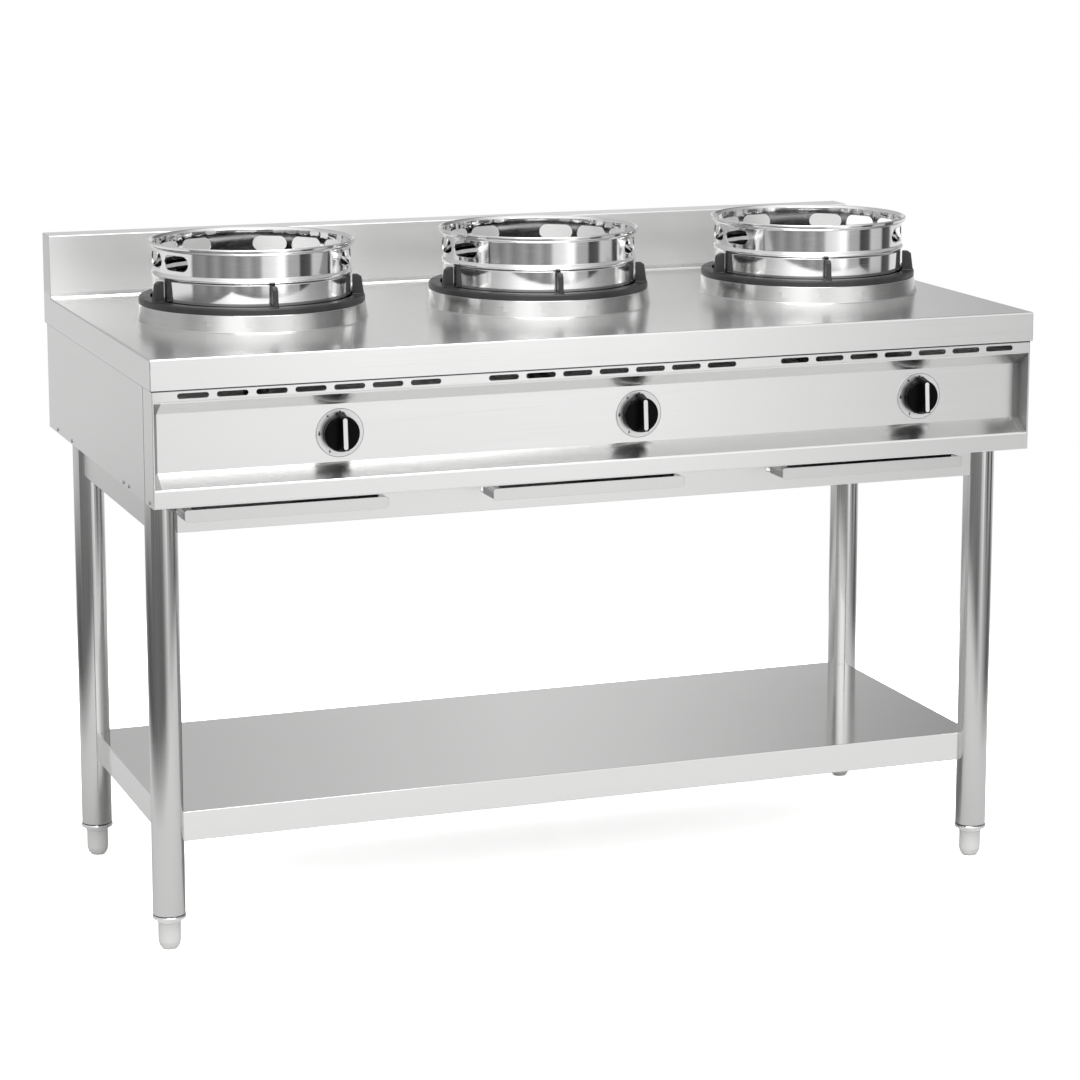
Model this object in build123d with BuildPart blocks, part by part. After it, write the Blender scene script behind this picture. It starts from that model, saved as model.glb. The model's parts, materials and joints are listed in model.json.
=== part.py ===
from build123d import *
from math import atan2, cos, degrees, radians, sin
import os

# Three-burner gas wok range on a tubular stand, in millimetres.
# +X is to the cook's right, -Y is the front, +Z is up, and the origin is on the floor under the middle.

# ---------------------------------------------------------------- driving sizes
# worktop and splashback
width = 1400.0
depth = 730.0
worktop_z = 900.0
top_sheet = 1.5
apron_height = 45.0
apron_wall = 3.0                    # hemmed edge, two skins thick
splash_height = 100.0
splash_depth = 50.0
splash_return = 22.0

# casing under the worktop
casing_height = 216.0               # worktop top face down to the casing's bottom
panel_sheet = 1.5
fascia_return = 55.0
fascia_foot = 25.0
strip_height = 64.0                 # worktop top face down to the recess
lip_height = 26.5
recess_depth = 30.0
recess_slope = 20.0
recess_margin = 3.0
rear_recess = 20.0
base_sheet = 1.2

# vent slots in the strip under the worktop
slot_length = 46.5
slot_height = 8.0
slot_pitch = 57.8
slots_per_group = 7
slot_drop = 54.5                    # worktop top face down to the middle of a slot
slot_shift = -12.0                  # slot groups from their burners

# vents in the rear panel, a few behind each burner
rear_vent_length = 120.0
rear_vent_pitch = 24.0
rear_vents = 3

# burners
burner_from_front = 365.0
burner_shift = 15.0                 # middle burner right of the worktop's middle
seat_radius = 154.0                 # step of the trivet on which the wok ring stands
collar_height = 26.0
collar_flare = 4.0
collar_sheet = 2.0
well_depth = 52.0
well_inset = 8.0

trivet_rim = 19.0
trivet_ledge = 26.0
trivet_height = 10.0
trivet_chamfer = 2.0
seat_height = 6.0
fins = 5
fin_thickness = 8.0
fin_height = 31.0
fin_inset = 1.0                     # the fin's foot stays this far inside the trivet's edge
fin_top = 12.0
fin_shoulder = 4.0

ring_clearance = 2.0                # wok ring inside the step of the trivet
ring_height = 90.0
ring_sheet = 2.0
bead_height = 41.0
bead_swell = 3.0
bead_half = 5.0
rim_reach = 2.5
rim_roll = 4.0
ring_hole_length = 54.0
ring_hole_height = 23.0
ring_hole_drop = 26.0
ring_holes_per_side = 5
ring_hole_step = 24.0               # degrees
ring_hole_first = 60.8              # degrees from the front
top_turns = {"left": -3.0, "middle": -8.0, "right": -13.0}   # loose tops, set down a little turned

head_radius = 68.0
head_neck_radius = 25.0
head_height = 40.0
head_bowl = 18.0                    # height of the cone under the head
head_crown = 12.0
head_crown_radius = 51.0
port_circle_radius = 34.0
port_depth = 10.0
centre_port_radius = 15.0
head_top_gap = 8.0                  # under the worktop's top face
head_ports = 8
head_port_radius = 4.0
mixer_radius = 19.0
mixer_wall = 3.0
mixer_bend = 42.0
mixer_bore_length = 90.0
mixer_mouth_radius = 26.0
mixer_mouth_length = 22.0
mixer_length = 236.0
post_width = 24.0
pilot_reach = 80.0
pilot_radius = 4.0
pilot_arm_width = 14.0
pilot_hood = 16.0
pilot_arm_thickness = 6.0
pilot_length = 62.0

# controls
control_shift = 39.0                # knob centre to the right of its burner
dial_radius = 36.5
dial_thickness = 1.0
knob_radius = 26.5
knob_skirt = 11.0
knob_edge = 2.0
knob_length = 28.0                  # at the grip's foot, its deepest point
grip_slope = 4.0                    # the grip's front face falls back by this much towards its nose
grip_nose = 31.0                    # knob centre up to the nose
grip_foot = 26.0                    # knob centre down to the foot
grip_nose_width = 13.0
grip_foot_width = 22.0
grip_front_width = 10.0
grip_front_length = 49.0
grip_corner = 2.5
mark_width = 6.5
mark_depth = 0.8
mark_length = 46.0
push_travel = 3.0
push_clearance = 0.5
stem_radius = 4.0
stem_length = 44.0
running_gap = 0.05
seat_flange_radius = 8.0
seat_flange = 2.0
seat_sleeve_radius = 6.5
seat_sleeve_length = 6.0
nose_radius = 9.0
nose_proud = 1.2
valve_width = 30.0
valve_height = 32.0
valve_length = 34.0
loose_gap = 0.3
pipe_radius = 10.65
hanger_sheet = 3.0
manifold_drop = 33.0
supply_radius = 5.0
injector_length = 24.0
injector_radius = 8.0
injector_nose = 4.0
inlet_radius = 10.48
inlet_bore_radius = 8.0
inlet_length = 18.0                 # from the rear panel
inlet_locknut = 5.0
inlet_nut_radius = 16.0
inlet_nut_length = 10.0
inlet_side = 60.0                   # from the right edge

# stand
leg_radius = 24.15
leg_wall = 1.5
leg_side_inset = 36.0
leg_front_inset = 101.0
leg_rear_inset = 138.0
rail_width = 25.0
rail_height = 54.0
rail_wall = 2.0
shelf_z = 206.0
shelf_sheet = 1.2
shelf_flange = 45.0
socket_z = 42.5
socket_cap = 10.5
socket_plug = 26.0
foot_radius = 17.0
foot_nose = 12.0
foot_stem_radius = 6.0
foot_stem_length = 34.0

# drip trays
tray_width = 268.0
tray_flange = 6.0
tray_front_width = 305.0
tray_front_return = 48.0
tray_height = 18.0
tray_drop = 6.0                     # casing bottom down to the tray's edge
tray_sheet = 1.2
tray_front_inset = 13.0
tray_length = 480.0
tray_shift = -46.0
tray_corner = 5.0
runner_wall = 1.5
rail_notch_gap = 4.0
drain_radius = 108.0                # opening over the tray, halfway between it and its burner

# ---------------------------------------------------------------- places worked out from them
left, right = -width / 2, width / 2
front, rear = -depth / 2, depth / 2
side_names = ("left", "middle", "right")
burner_pitch = width / len(side_names)
burner_xs = {name: (i - 1) * burner_pitch + burner_shift for i, name in enumerate(side_names)}
burner_y = front + burner_from_front
knob_xs = {name: x + control_shift for name, x in burner_xs.items()}
tray_xs = {name: x + tray_shift for name, x in burner_xs.items()}

under_top_z = worktop_z - top_sheet
casing_bottom_z = worktop_z - casing_height
casing_half = width / 2 - apron_wall
face_y = front + apron_wall
panel_y = face_y + recess_depth
back_y = rear - rear_recess
recess_top_z = worktop_z - strip_height
recess_bottom_z = casing_bottom_z + lip_height
recess_height = recess_top_z - recess_bottom_z
recess_width = 2 * (casing_half - recess_margin)
control_z = (recess_top_z + recess_bottom_z) / 2

well_radius = seat_radius - well_inset
trivet_radius = seat_radius + trivet_rim
trivet_inner_radius = seat_radius - trivet_ledge
collar_top_radius = trivet_radius
collar_base_radius = collar_top_radius + collar_flare
ring_radius = seat_radius - ring_clearance
collar_top_z = worktop_z + collar_height
trivet_top_z = collar_top_z + trivet_height
ring_bottom_z = collar_top_z + seat_height
ring_top_z = ring_bottom_z + ring_height
mouth_y = burner_y - mixer_length
head_top_z = worktop_z - head_top_gap
head_bottom_z = head_top_z - head_height
pilot_arm_z = head_bottom_z + head_bowl

leg_x = width / 2 - leg_side_inset
leg_front_y = front + leg_front_inset
leg_rear_y = rear - leg_rear_inset
legs = {
    "front_left": (-leg_x, leg_front_y),
    "front_right": (leg_x, leg_front_y),
    "rear_left": (-leg_x, leg_rear_y),
    "rear_right": (leg_x, leg_rear_y),
}
leg_bottom_z = socket_z + socket_cap
rail_bottom_z = casing_bottom_z - rail_height
tray_top_z = casing_bottom_z - tray_drop
tray_front_y = front + tray_front_inset
runner_half = tray_width / 2 + tray_flange + loose_gap
notch_half = runner_half + runner_wall + rail_notch_gap

os.makedirs("parts", exist_ok=True)


def save(part, name):
    part.label = name
    export_step(part, f"parts/{name}.step")


def upright(y, x=0.0, z=0.0):
    """Upright plane through this point, its sketch seen from the front: x to the right, y up."""
    return Plane(origin=(x, y, z), x_dir=(1, 0, 0), z_dir=(0, -1, 0))


def around(centre_x, angle, z):
    """Plane through a burner's axis that looks outward, with the angle counted from the front."""
    a = radians(angle - 90)
    return Plane(origin=(centre_x, burner_y, z), x_dir=(-sin(a), cos(a), 0), z_dir=(cos(a), sin(a), 0))


# ---------------------------------------------------------------- worktop and casing
with BuildPart() as worktop:
    with BuildSketch(Plane.XY.offset(worktop_z - apron_height)):
        Rectangle(width, depth)
    extrude(amount=apron_height)
    with BuildSketch(Plane.XY.offset(worktop_z - apron_height)):
        Rectangle(width - 2 * apron_wall, depth - 2 * apron_wall)
    extrude(amount=apron_height - top_sheet, mode=Mode.SUBTRACT)
    # splashback: a folded box with closed ends, open behind below its return
    with BuildSketch(Plane.XY.offset(worktop_z)):
        with Locations((0, rear - splash_depth / 2)):
            Rectangle(width, splash_depth)
    extrude(amount=splash_height)
    with BuildSketch(Plane.XY.offset(worktop_z)):
        with Locations((0, rear - splash_depth / 2)):
            Rectangle(width - 2 * top_sheet, splash_depth - 2 * top_sheet)
    extrude(amount=splash_height - top_sheet, mode=Mode.SUBTRACT)
    with BuildSketch(upright(rear)):
        with Locations((0, worktop_z + (splash_height - splash_return) / 2)):
            Rectangle(width - 2 * top_sheet, splash_height - splash_return)
    extrude(amount=top_sheet, mode=Mode.SUBTRACT)
    with BuildSketch(Plane.XY.offset(under_top_z)):
        with Locations(*[(x, burner_y) for x in burner_xs.values()]):
            Circle(well_radius)
    extrude(amount=top_sheet, mode=Mode.SUBTRACT)
save(worktop.part, "worktop")

with BuildPart() as fascia:
    with BuildSketch(upright(face_y)):
        with Locations((0, (under_top_z + casing_bottom_z) / 2)):
            Rectangle(2 * casing_half, under_top_z - casing_bottom_z)
    extrude(amount=-panel_sheet)
    # sloped reveals round the recess
    with BuildSketch(upright(face_y)):
        with Locations((0, control_z)):
            Rectangle(recess_width + 2 * panel_sheet, recess_height + 2 * panel_sheet)
    with BuildSketch(upright(panel_y)):
        with Locations((0, control_z)):
            Rectangle(
                recess_width - 2 * recess_slope + 2 * panel_sheet,
                recess_height - 2 * recess_slope + 2 * panel_sheet,
            )
    loft()
    with BuildSketch(upright(face_y)):
        with Locations((0, control_z)):
            Rectangle(recess_width, recess_height)
    with BuildSketch(upright(panel_y)):
        with Locations((0, control_z)):
            Rectangle(recess_width - 2 * recess_slope, recess_height - 2 * recess_slope)
    loft(mode=Mode.SUBTRACT)
    # returns round the corners and along the foot
    with BuildSketch(Plane.XY.offset(casing_bottom_z)):
        for side in (-1, 1):
            with Locations((side * (casing_half - panel_sheet / 2), face_y + fascia_return / 2)):
                Rectangle(panel_sheet, fascia_return)
    extrude(amount=under_top_z - casing_bottom_z)
    with BuildSketch(Plane.XY.offset(casing_bottom_z)):
        with Locations((0, face_y + fascia_foot / 2)):
            Rectangle(2 * casing_half, fascia_foot)
    extrude(amount=panel_sheet)
    with BuildSketch(upright(face_y)):
        for x in burner_xs.values():
            with Locations((x + slot_shift, worktop_z - slot_drop)):
                with GridLocations(slot_pitch, 0, slots_per_group, 1):
                    SlotOverall(slot_length, slot_height)
    extrude(amount=-panel_sheet, mode=Mode.SUBTRACT)
save(fascia.part, "fascia")

with BuildPart() as control_panel:
    with BuildSketch(upright(panel_y)):
        with Locations((0, control_z)):
            Rectangle(recess_width - recess_slope, recess_height - recess_slope)
        with Locations(*[(x, control_z) for x in knob_xs.values()]):
            Circle(nose_radius + loose_gap, mode=Mode.SUBTRACT)
    extrude(amount=-panel_sheet)
save(control_panel.part, "control_panel")

for side, name in ((-1, "side_panel_left"), (1, "side_panel_right")):
    with BuildPart() as side_panel:
        panel_start_y = face_y + fascia_return
        panel_end_y = rear - apron_wall
        with BuildSketch(Plane.XY.offset(casing_bottom_z)):
            with Locations((side * (casing_half - panel_sheet / 2), (panel_start_y + panel_end_y) / 2)):
                Rectangle(panel_sheet, panel_end_y - panel_start_y)
        extrude(amount=under_top_z - casing_bottom_z)
    save(side_panel.part, name)

inlet_x = right - inlet_side
manifold_z = control_z - manifold_drop
with BuildPart() as rear_panel:
    with BuildSketch(upright(back_y)):
        with Locations((0, (under_top_z + casing_bottom_z) / 2)):
            Rectangle(2 * (casing_half - panel_sheet), under_top_z - casing_bottom_z)
        with Locations((inlet_x, manifold_z)):
            Circle(inlet_radius + loose_gap, mode=Mode.SUBTRACT)
        with Locations(*[(x, control_z) for x in burner_xs.values()]):
            with GridLocations(0, rear_vent_pitch, 1, rear_vents):
                Rectangle(rear_vent_length, slot_height, mode=Mode.SUBTRACT)
    extrude(amount=panel_sheet)
save(rear_panel.part, "rear_panel")

with BuildPart() as base_pan:
    pan_front_y = face_y + fascia_foot
    pan_rear_y = back_y - panel_sheet
    with BuildSketch(Plane.XY.offset(casing_bottom_z)):
        with Locations((0, (pan_front_y + pan_rear_y) / 2)):
            Rectangle(2 * (casing_half - panel_sheet), pan_rear_y - pan_front_y)
        with Locations(*[((x + tray_xs[name]) / 2, burner_y) for name, x in burner_xs.items()]):
            Circle(drain_radius, mode=Mode.SUBTRACT)
    extrude(amount=base_sheet)
save(base_pan.part, "base_pan")

# ---------------------------------------------------------------- burners
for name, x in burner_xs.items():
    turn = top_turns[name]

    with BuildPart() as collar:
        # conical skirt on the worktop, a ledge for the trivet and a spill well through the worktop
        with BuildSketch(upright(burner_y, x)):
            with BuildLine():
                Polyline(
                    (well_radius - collar_sheet - loose_gap, worktop_z - well_depth),
                    (well_radius - loose_gap, worktop_z - well_depth),
                    (well_radius - loose_gap, collar_top_z - collar_sheet),
                    (collar_top_radius - collar_sheet, collar_top_z - collar_sheet),
                    (collar_base_radius - collar_sheet, worktop_z),
                    (collar_base_radius, worktop_z),
                    (collar_top_radius, collar_top_z),
                    (well_radius - collar_sheet - loose_gap, collar_top_z),
                    close=True,
                )
            make_face()
        revolve(axis=Axis((x, burner_y, 0), (0, 0, 1)))
    save(collar.part, f"collar_{name}")

    with BuildPart() as trivet:
        with BuildSketch(upright(burner_y, x)):
            with BuildLine():
                Polyline(
                    (trivet_inner_radius, collar_top_z),
                    (trivet_radius, collar_top_z),
                    (trivet_radius, trivet_top_z - trivet_chamfer),
                    (trivet_radius - trivet_chamfer, trivet_top_z),
                    (seat_radius, trivet_top_z),
                    (seat_radius, ring_bottom_z),
                    (trivet_inner_radius, ring_bottom_z),
                    close=True,
                )
            make_face()
        revolve(axis=Axis((x, burner_y, 0), (0, 0, 1)))
        # upright fins keep the wok ring in the middle
        for i in range(fins):
            fin_plane = around(x, turn + 360 / fins * i, 0)
            with BuildSketch(Plane(origin=fin_plane.origin, x_dir=fin_plane.z_dir, z_dir=-fin_plane.x_dir)):
                with BuildLine():
                    Polyline(
                        (seat_radius, trivet_top_z - trivet_chamfer),
                        (trivet_radius - fin_inset, trivet_top_z - trivet_chamfer),
                        (seat_radius + fin_top + fin_shoulder / 2, trivet_top_z + fin_height - fin_shoulder),
                        (seat_radius + fin_top - fin_shoulder, trivet_top_z + fin_height),
                        (seat_radius, trivet_top_z + fin_height),
                        close=True,
                    )
                make_face()
            extrude(amount=fin_thickness / 2, both=True)
    save(trivet.part, f"trivet_{name}")

    with BuildPart() as wok_ring:
        top = ring_top_z
        bead_z = ring_bottom_z + bead_height
        outer = ring_radius
        with BuildSketch(upright(burner_y, x)):
            with BuildLine():
                Polyline(
                    (outer - ring_sheet, ring_bottom_z),
                    (outer, ring_bottom_z),
                    (outer, bead_z - bead_half),
                    (outer + bead_swell, bead_z),
                    (outer, bead_z + bead_half),
                    (outer, top - 2 * rim_roll),
                    (outer + rim_reach, top - 2 * rim_roll),
                    (outer + rim_reach + rim_roll * 0.87, top - 1.5 * rim_roll),
                    (outer + rim_reach + rim_roll * 0.87, top - 0.5 * rim_roll),
                    (outer + rim_reach, top),
                    (outer - ring_sheet, top - rim_roll),
                    (outer - ring_sheet, bead_z + bead_half),
                    (outer - ring_sheet + bead_swell, bead_z),
                    (outer - ring_sheet, bead_z - bead_half),
                    close=True,
                )
            make_face()
        revolve(axis=Axis((x, burner_y, 0), (0, 0, 1)))
        hole_z = ring_top_z - ring_hole_drop
        hole_angles = [ring_hole_first + ring_hole_step * i for i in range(ring_holes_per_side)]
        with BuildSketch(*[around(x, turn + side * a, hole_z) for a in hole_angles for side in (-1, 1)]):
            SlotOverall(ring_hole_length, ring_hole_height)
        extrude(amount=ring_radius + bead_swell, mode=Mode.SUBTRACT)
    save(wok_ring.part, f"wok_ring_{name}")

    with BuildPart() as burner_head:
        with BuildSketch(upright(burner_y, x)):
            with BuildLine():
                Polyline(
                    (0, head_bottom_z),
                    (head_neck_radius, head_bottom_z),
                    (head_radius, pilot_arm_z),
                    (head_radius, head_top_z - head_crown),
                    (head_crown_radius, head_top_z),
                    (0, head_top_z),
                    close=True,
                )
            make_face()
        revolve(axis=Axis((x, burner_y, 0), (0, 0, 1)))
        with BuildSketch(Plane.XY.offset(head_top_z)):
            with Locations((x, burner_y)):
                with PolarLocations(port_circle_radius, head_ports):
                    RegularPolygon(head_port_radius, 6)
                Circle(centre_port_radius)
        extrude(amount=-port_depth, mode=Mode.SUBTRACT)
        # arm that carries the pilot
        with BuildSketch(Plane.XY.offset(pilot_arm_z)):
            with Locations((x + (head_radius + pilot_reach) / 2, burner_y)):
                Rectangle(pilot_reach - head_radius + 2 * pilot_arm_width, pilot_arm_width)
            with Locations((x + pilot_reach, burner_y)):
                Circle(pilot_radius + running_gap, mode=Mode.SUBTRACT)
        extrude(amount=pilot_arm_thickness)
    save(burner_head.part, f"burner_head_{name}")

    with BuildPart() as mixer_tube:
        with BuildLine() as mixer_path:
            FilletPolyline(
                (x, mouth_y, control_z),
                (x, burner_y, control_z),
                (x, burner_y, head_bottom_z),
                radius=mixer_bend,
            )
        with BuildSketch(upright(mouth_y)):
            with Locations((x, control_z)):
                Circle(mixer_radius)
        sweep(path=mixer_path.line)
        with BuildSketch(upright(mouth_y)):
            with Locations((x, control_z)):
                Circle(mixer_mouth_radius)
        with BuildSketch(upright(mouth_y + mixer_mouth_length)):
            with Locations((x, control_z)):
                Circle(mixer_radius)
        loft()
        with BuildSketch(upright(mouth_y)):
            with Locations((x, control_z)):
                Circle(mixer_radius - mixer_wall)
        extrude(amount=-mixer_bore_length, mode=Mode.SUBTRACT)
        # post down to the casing's floor
        with BuildSketch(Plane.XY.offset(casing_bottom_z + base_sheet)):
            with Locations((x, mouth_y + mixer_mouth_length + post_width / 2)):
                Rectangle(post_width, post_width / 2)
        extrude(amount=control_z - mixer_radius + mixer_wall / 2 - casing_bottom_z - base_sheet)
    save(mixer_tube.part, f"mixer_tube_{name}")

with BuildPart() as pilots:
    for x in burner_xs.values():
        with BuildSketch(Plane.XY.offset(head_top_z - pilot_length)):
            with Locations((x + pilot_reach, burner_y)):
                Circle(pilot_radius)
        extrude(amount=pilot_length)
        with BuildSketch(Plane.XY.offset(head_top_z)):
            with Locations((x + pilot_reach, burner_y)):
                RegularPolygon(2 * pilot_radius, 6)
        extrude(amount=-pilot_hood)
save(pilots.part, "pilots")

# ---------------------------------------------------------------- gas train and controls
valve_front_y = panel_y + panel_sheet + 3
valve_y = valve_front_y + valve_length / 2
manifold_end_x = left + inlet_side

with BuildPart() as gas_manifold:
    with BuildLine() as manifold_path:
        FilletPolyline(
            (manifold_end_x, valve_y, manifold_z),
            (inlet_x, valve_y, manifold_z),
            (inlet_x, back_y - panel_sheet - inlet_nut_length, manifold_z),
            radius=3 * pipe_radius,
        )
    with BuildSketch(Plane(origin=(manifold_end_x, valve_y, manifold_z), z_dir=(1, 0, 0))):
        Circle(pipe_radius)
    sweep(path=manifold_path.line)
    # hangers up from the casing's floor
    with BuildSketch(Plane.XY.offset(casing_bottom_z + base_sheet)):
        with Locations(*[(x, valve_y) for x in burner_xs.values()]):
            Rectangle(2 * pipe_radius, hanger_sheet)
    extrude(amount=manifold_z - casing_bottom_z - base_sheet)
save(gas_manifold.part, "gas_manifold")

with BuildPart() as gas_inlet:
    with BuildSketch(upright(back_y - panel_sheet)):
        with Locations((inlet_x, manifold_z)):
            RegularPolygon(inlet_nut_radius, 6)
    extrude(amount=inlet_nut_length)
    with BuildSketch(upright(back_y)):
        with Locations((inlet_x, manifold_z)):
            RegularPolygon(inlet_nut_radius, 6)
    extrude(amount=-inlet_locknut)
    with BuildSketch(upright(back_y - panel_sheet)):
        with Locations((inlet_x, manifold_z)):
            Circle(inlet_radius)
    extrude(amount=-(panel_sheet + inlet_length))
    with BuildSketch(upright(back_y + inlet_length)):
        with Locations((inlet_x, manifold_z)):
            Circle(inlet_bore_radius)
    extrude(amount=inlet_length, mode=Mode.SUBTRACT)
save(gas_inlet.part, "gas_inlet")

with BuildPart() as supply_pipes:
    for name, x in burner_xs.items():
        start_x = knob_xs[name] - valve_width / 2
        with BuildLine() as supply_path:
            Polyline(
                (start_x, valve_y, control_z),
                (x, valve_y, control_z),
                (x, mouth_y - injector_length, control_z),
            )
        with BuildSketch(Plane(origin=(start_x, valve_y, control_z), z_dir=(-1, 0, 0))):
            Circle(supply_radius)
        sweep(path=supply_path.line, transition=Transition.RIGHT)
        # injector, its nose a little way into the mixer's mouth
        with BuildSketch(upright(mouth_y - injector_length)):
            with Locations((x, control_z)):
                RegularPolygon(injector_radius, 6)
        extrude(amount=-injector_length / 2)
        with BuildSketch(upright(mouth_y - injector_length / 2)):
            with Locations((x, control_z)):
                Circle(supply_radius)
        extrude(amount=-(injector_length / 2 + injector_nose))
save(supply_pipes.part, "supply_pipes")

knob_back_y = panel_y - dial_thickness - push_travel - push_clearance
knob_front_y = knob_back_y - knob_length + grip_slope / 2
grip_tilt = degrees(atan2(grip_slope, grip_front_length))
grip_side_angle = 90 - degrees(atan2((grip_foot_width - grip_nose_width) / 2, grip_nose + grip_foot))
grip_planes = {
    name: upright(knob_front_y, x, control_z + (grip_nose - grip_foot) / 2).rotated((-grip_tilt, 0, 0))
    for name, x in knob_xs.items()
}
nose_front_y = panel_y - nose_proud
seat_y = nose_front_y - push_travel - push_clearance
stem_front_y = knob_back_y - knob_skirt

with BuildPart() as dial_plates:
    with BuildSketch(upright(panel_y)):
        with Locations(*[(x, control_z) for x in knob_xs.values()]):
            Circle(dial_radius)
            Circle(nose_radius + loose_gap, mode=Mode.SUBTRACT)
    extrude(amount=dial_thickness)
save(dial_plates.part, "dial_plates")

for name, x in knob_xs.items():
    with BuildPart() as valve:
        with BuildSketch(upright(valve_front_y)):
            with Locations((x, control_z)):
                Rectangle(valve_width, valve_height)
        extrude(amount=-valve_length)
        with BuildSketch(upright(valve_front_y)):
            with Locations((x, control_z)):
                Circle(nose_radius)
        extrude(amount=valve_front_y - nose_front_y)
        # foot down to the manifold
        with BuildSketch(Plane.XY.offset(control_z)):
            with Locations((x, valve_y)):
                Circle(nose_radius)
        extrude(amount=-manifold_drop)
        with BuildSketch(Plane(origin=(x, valve_y, manifold_z), z_dir=(1, 0, 0))):
            Circle(pipe_radius)
        extrude(amount=valve_width, both=True, mode=Mode.SUBTRACT)
        # bores for the spring seat's sleeve and the stem
        with BuildSketch(upright(nose_front_y)):
            with Locations((x, control_z)):
                Circle(seat_sleeve_radius + running_gap)
        extrude(amount=-(seat_sleeve_length + push_travel + push_clearance), mode=Mode.SUBTRACT)
        with BuildSketch(upright(nose_front_y)):
            with Locations((x, control_z)):
                Circle(stem_radius + running_gap)
        extrude(amount=-(stem_front_y + stem_length + 2 * push_travel - nose_front_y), mode=Mode.SUBTRACT)
    save(valve.part, f"valve_{name}")

    with BuildPart() as spring_seat:
        with BuildSketch(upright(seat_y)):
            with Locations((x, control_z)):
                Circle(seat_flange_radius)
        extrude(amount=seat_flange)
        with BuildSketch(upright(seat_y)):
            with Locations((x, control_z)):
                Circle(seat_sleeve_radius)
        extrude(amount=-(seat_sleeve_length + push_travel))
        with BuildSketch(upright(seat_y - seat_flange)):
            with Locations((x, control_z)):
                Circle(stem_radius + running_gap)
        extrude(amount=-(seat_flange + seat_sleeve_length + push_travel), mode=Mode.SUBTRACT)
    save(spring_seat.part, f"spring_seat_{name}")

    with BuildPart() as stem:
        with BuildSketch(upright(stem_front_y)):
            with Locations((x, control_z)):
                Circle(stem_radius)
        extrude(amount=-stem_length)
    save(stem.part, f"stem_{name}")

    with BuildPart() as knob:
        with BuildSketch(upright(knob_back_y)):
            with Locations((x, control_z)):
                Circle(knob_radius)
        extrude(amount=knob_skirt)
        chamfer(knob.faces().sort_by(Axis.Y)[0].edges(), length=knob_edge)
        # grip bar: its foot is wider than its nose, and the nose stands out over the skirt as a pointer
        with BuildSketch(upright(knob_back_y)) as grip_back:
            with Locations((x, control_z + (grip_nose - grip_foot) / 2)):
                Trapezoid(grip_foot_width, grip_nose + grip_foot, grip_side_angle)
            fillet(grip_back.vertices(), radius=grip_corner)
        with BuildSketch(grip_planes[name]) as grip_front:
            Rectangle(grip_front_width, grip_front_length)
            fillet(grip_front.vertices(), radius=grip_corner)
        loft()
        with BuildSketch(grip_planes[name]):
            SlotOverall(mark_length, mark_width, rotation=90)
        extrude(amount=-mark_depth, mode=Mode.SUBTRACT)
        # hollow back over the spring seat and the valve's nose, and the stem's blind bore
        with BuildSketch(upright(knob_back_y)):
            with Locations((x, control_z)):
                Circle(nose_radius + loose_gap)
        extrude(amount=knob_back_y - seat_y + seat_flange, mode=Mode.SUBTRACT)
        with BuildSketch(upright(knob_back_y)):
            with Locations((x, control_z)):
                Circle(stem_radius)
        extrude(amount=knob_back_y - stem_front_y, mode=Mode.SUBTRACT)
    save(knob.part, f"knob_{name}")

    with BuildPart() as knob_mark:
        with BuildSketch(grip_planes[name]):
            SlotOverall(mark_length, mark_width, rotation=90)
        extrude(amount=-mark_depth)
    save(knob_mark.part, f"knob_mark_{name}")

# ---------------------------------------------------------------- stand
for name, (x, y) in legs.items():
    with BuildPart() as leg:
        with BuildSketch(Plane.XY.offset(leg_bottom_z)):
            with Locations((x, y)):
                Circle(leg_radius)
                Circle(leg_radius - leg_wall, mode=Mode.SUBTRACT)
        extrude(amount=casing_bottom_z - leg_bottom_z)
    save(leg.part, f"leg_{name}")

    with BuildPart() as foot:
        with BuildSketch(upright(y, x)):
            with BuildLine():
                Polyline(
                    (0, 0),
                    (foot_radius * 0.62, 0),
                    (foot_radius * 0.88, foot_nose * 0.45),
                    (foot_radius, foot_nose),
                    (foot_radius, socket_z - loose_gap),
                    (foot_stem_radius, socket_z - loose_gap),
                    (foot_stem_radius, socket_z + foot_stem_length),
                    (0, socket_z + foot_stem_length),
                    close=True,
                )
            make_face()
        revolve(axis=Axis((x, y, 0), (0, 0, 1)))
    save(foot.part, f"foot_{name}")

with BuildPart() as leg_sockets:
    for x, y in legs.values():
        with BuildSketch(upright(y, x)):
            with BuildLine():
                Polyline(
                    (foot_stem_radius + running_gap, socket_z),
                    (foot_radius + 2, socket_z),
                    (leg_radius, socket_z + socket_cap * 0.45),
                    (leg_radius, leg_bottom_z),
                    (leg_radius - leg_wall, leg_bottom_z),
                    (leg_radius - leg_wall, leg_bottom_z + socket_plug),
                    (foot_stem_radius + running_gap, leg_bottom_z + socket_plug),
                    close=True,
                )
            make_face()
        revolve(axis=Axis((x, y, 0), (0, 0, 1)))
save(leg_sockets.part, "leg_sockets")

with BuildPart() as shelf:
    shelf_mid_y = (leg_front_y + leg_rear_y) / 2
    with BuildSketch(Plane.XY.offset(shelf_z - shelf_flange)):
        with Locations((0, shelf_mid_y)):
            Rectangle(2 * leg_x, leg_rear_y - leg_front_y)
    extrude(amount=shelf_flange)
    with BuildSketch(Plane.XY.offset(shelf_z - shelf_flange)):
        with Locations((0, shelf_mid_y)):
            Rectangle(2 * (leg_x - shelf_sheet), leg_rear_y - leg_front_y - 2 * shelf_sheet)
    extrude(amount=shelf_flange - shelf_sheet, mode=Mode.SUBTRACT)
    with BuildSketch(Plane.XY.offset(shelf_z - shelf_flange)):
        with Locations(*legs.values()):
            Circle(leg_radius)
    extrude(amount=shelf_flange, mode=Mode.SUBTRACT)
save(shelf.part, "shelf")

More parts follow.
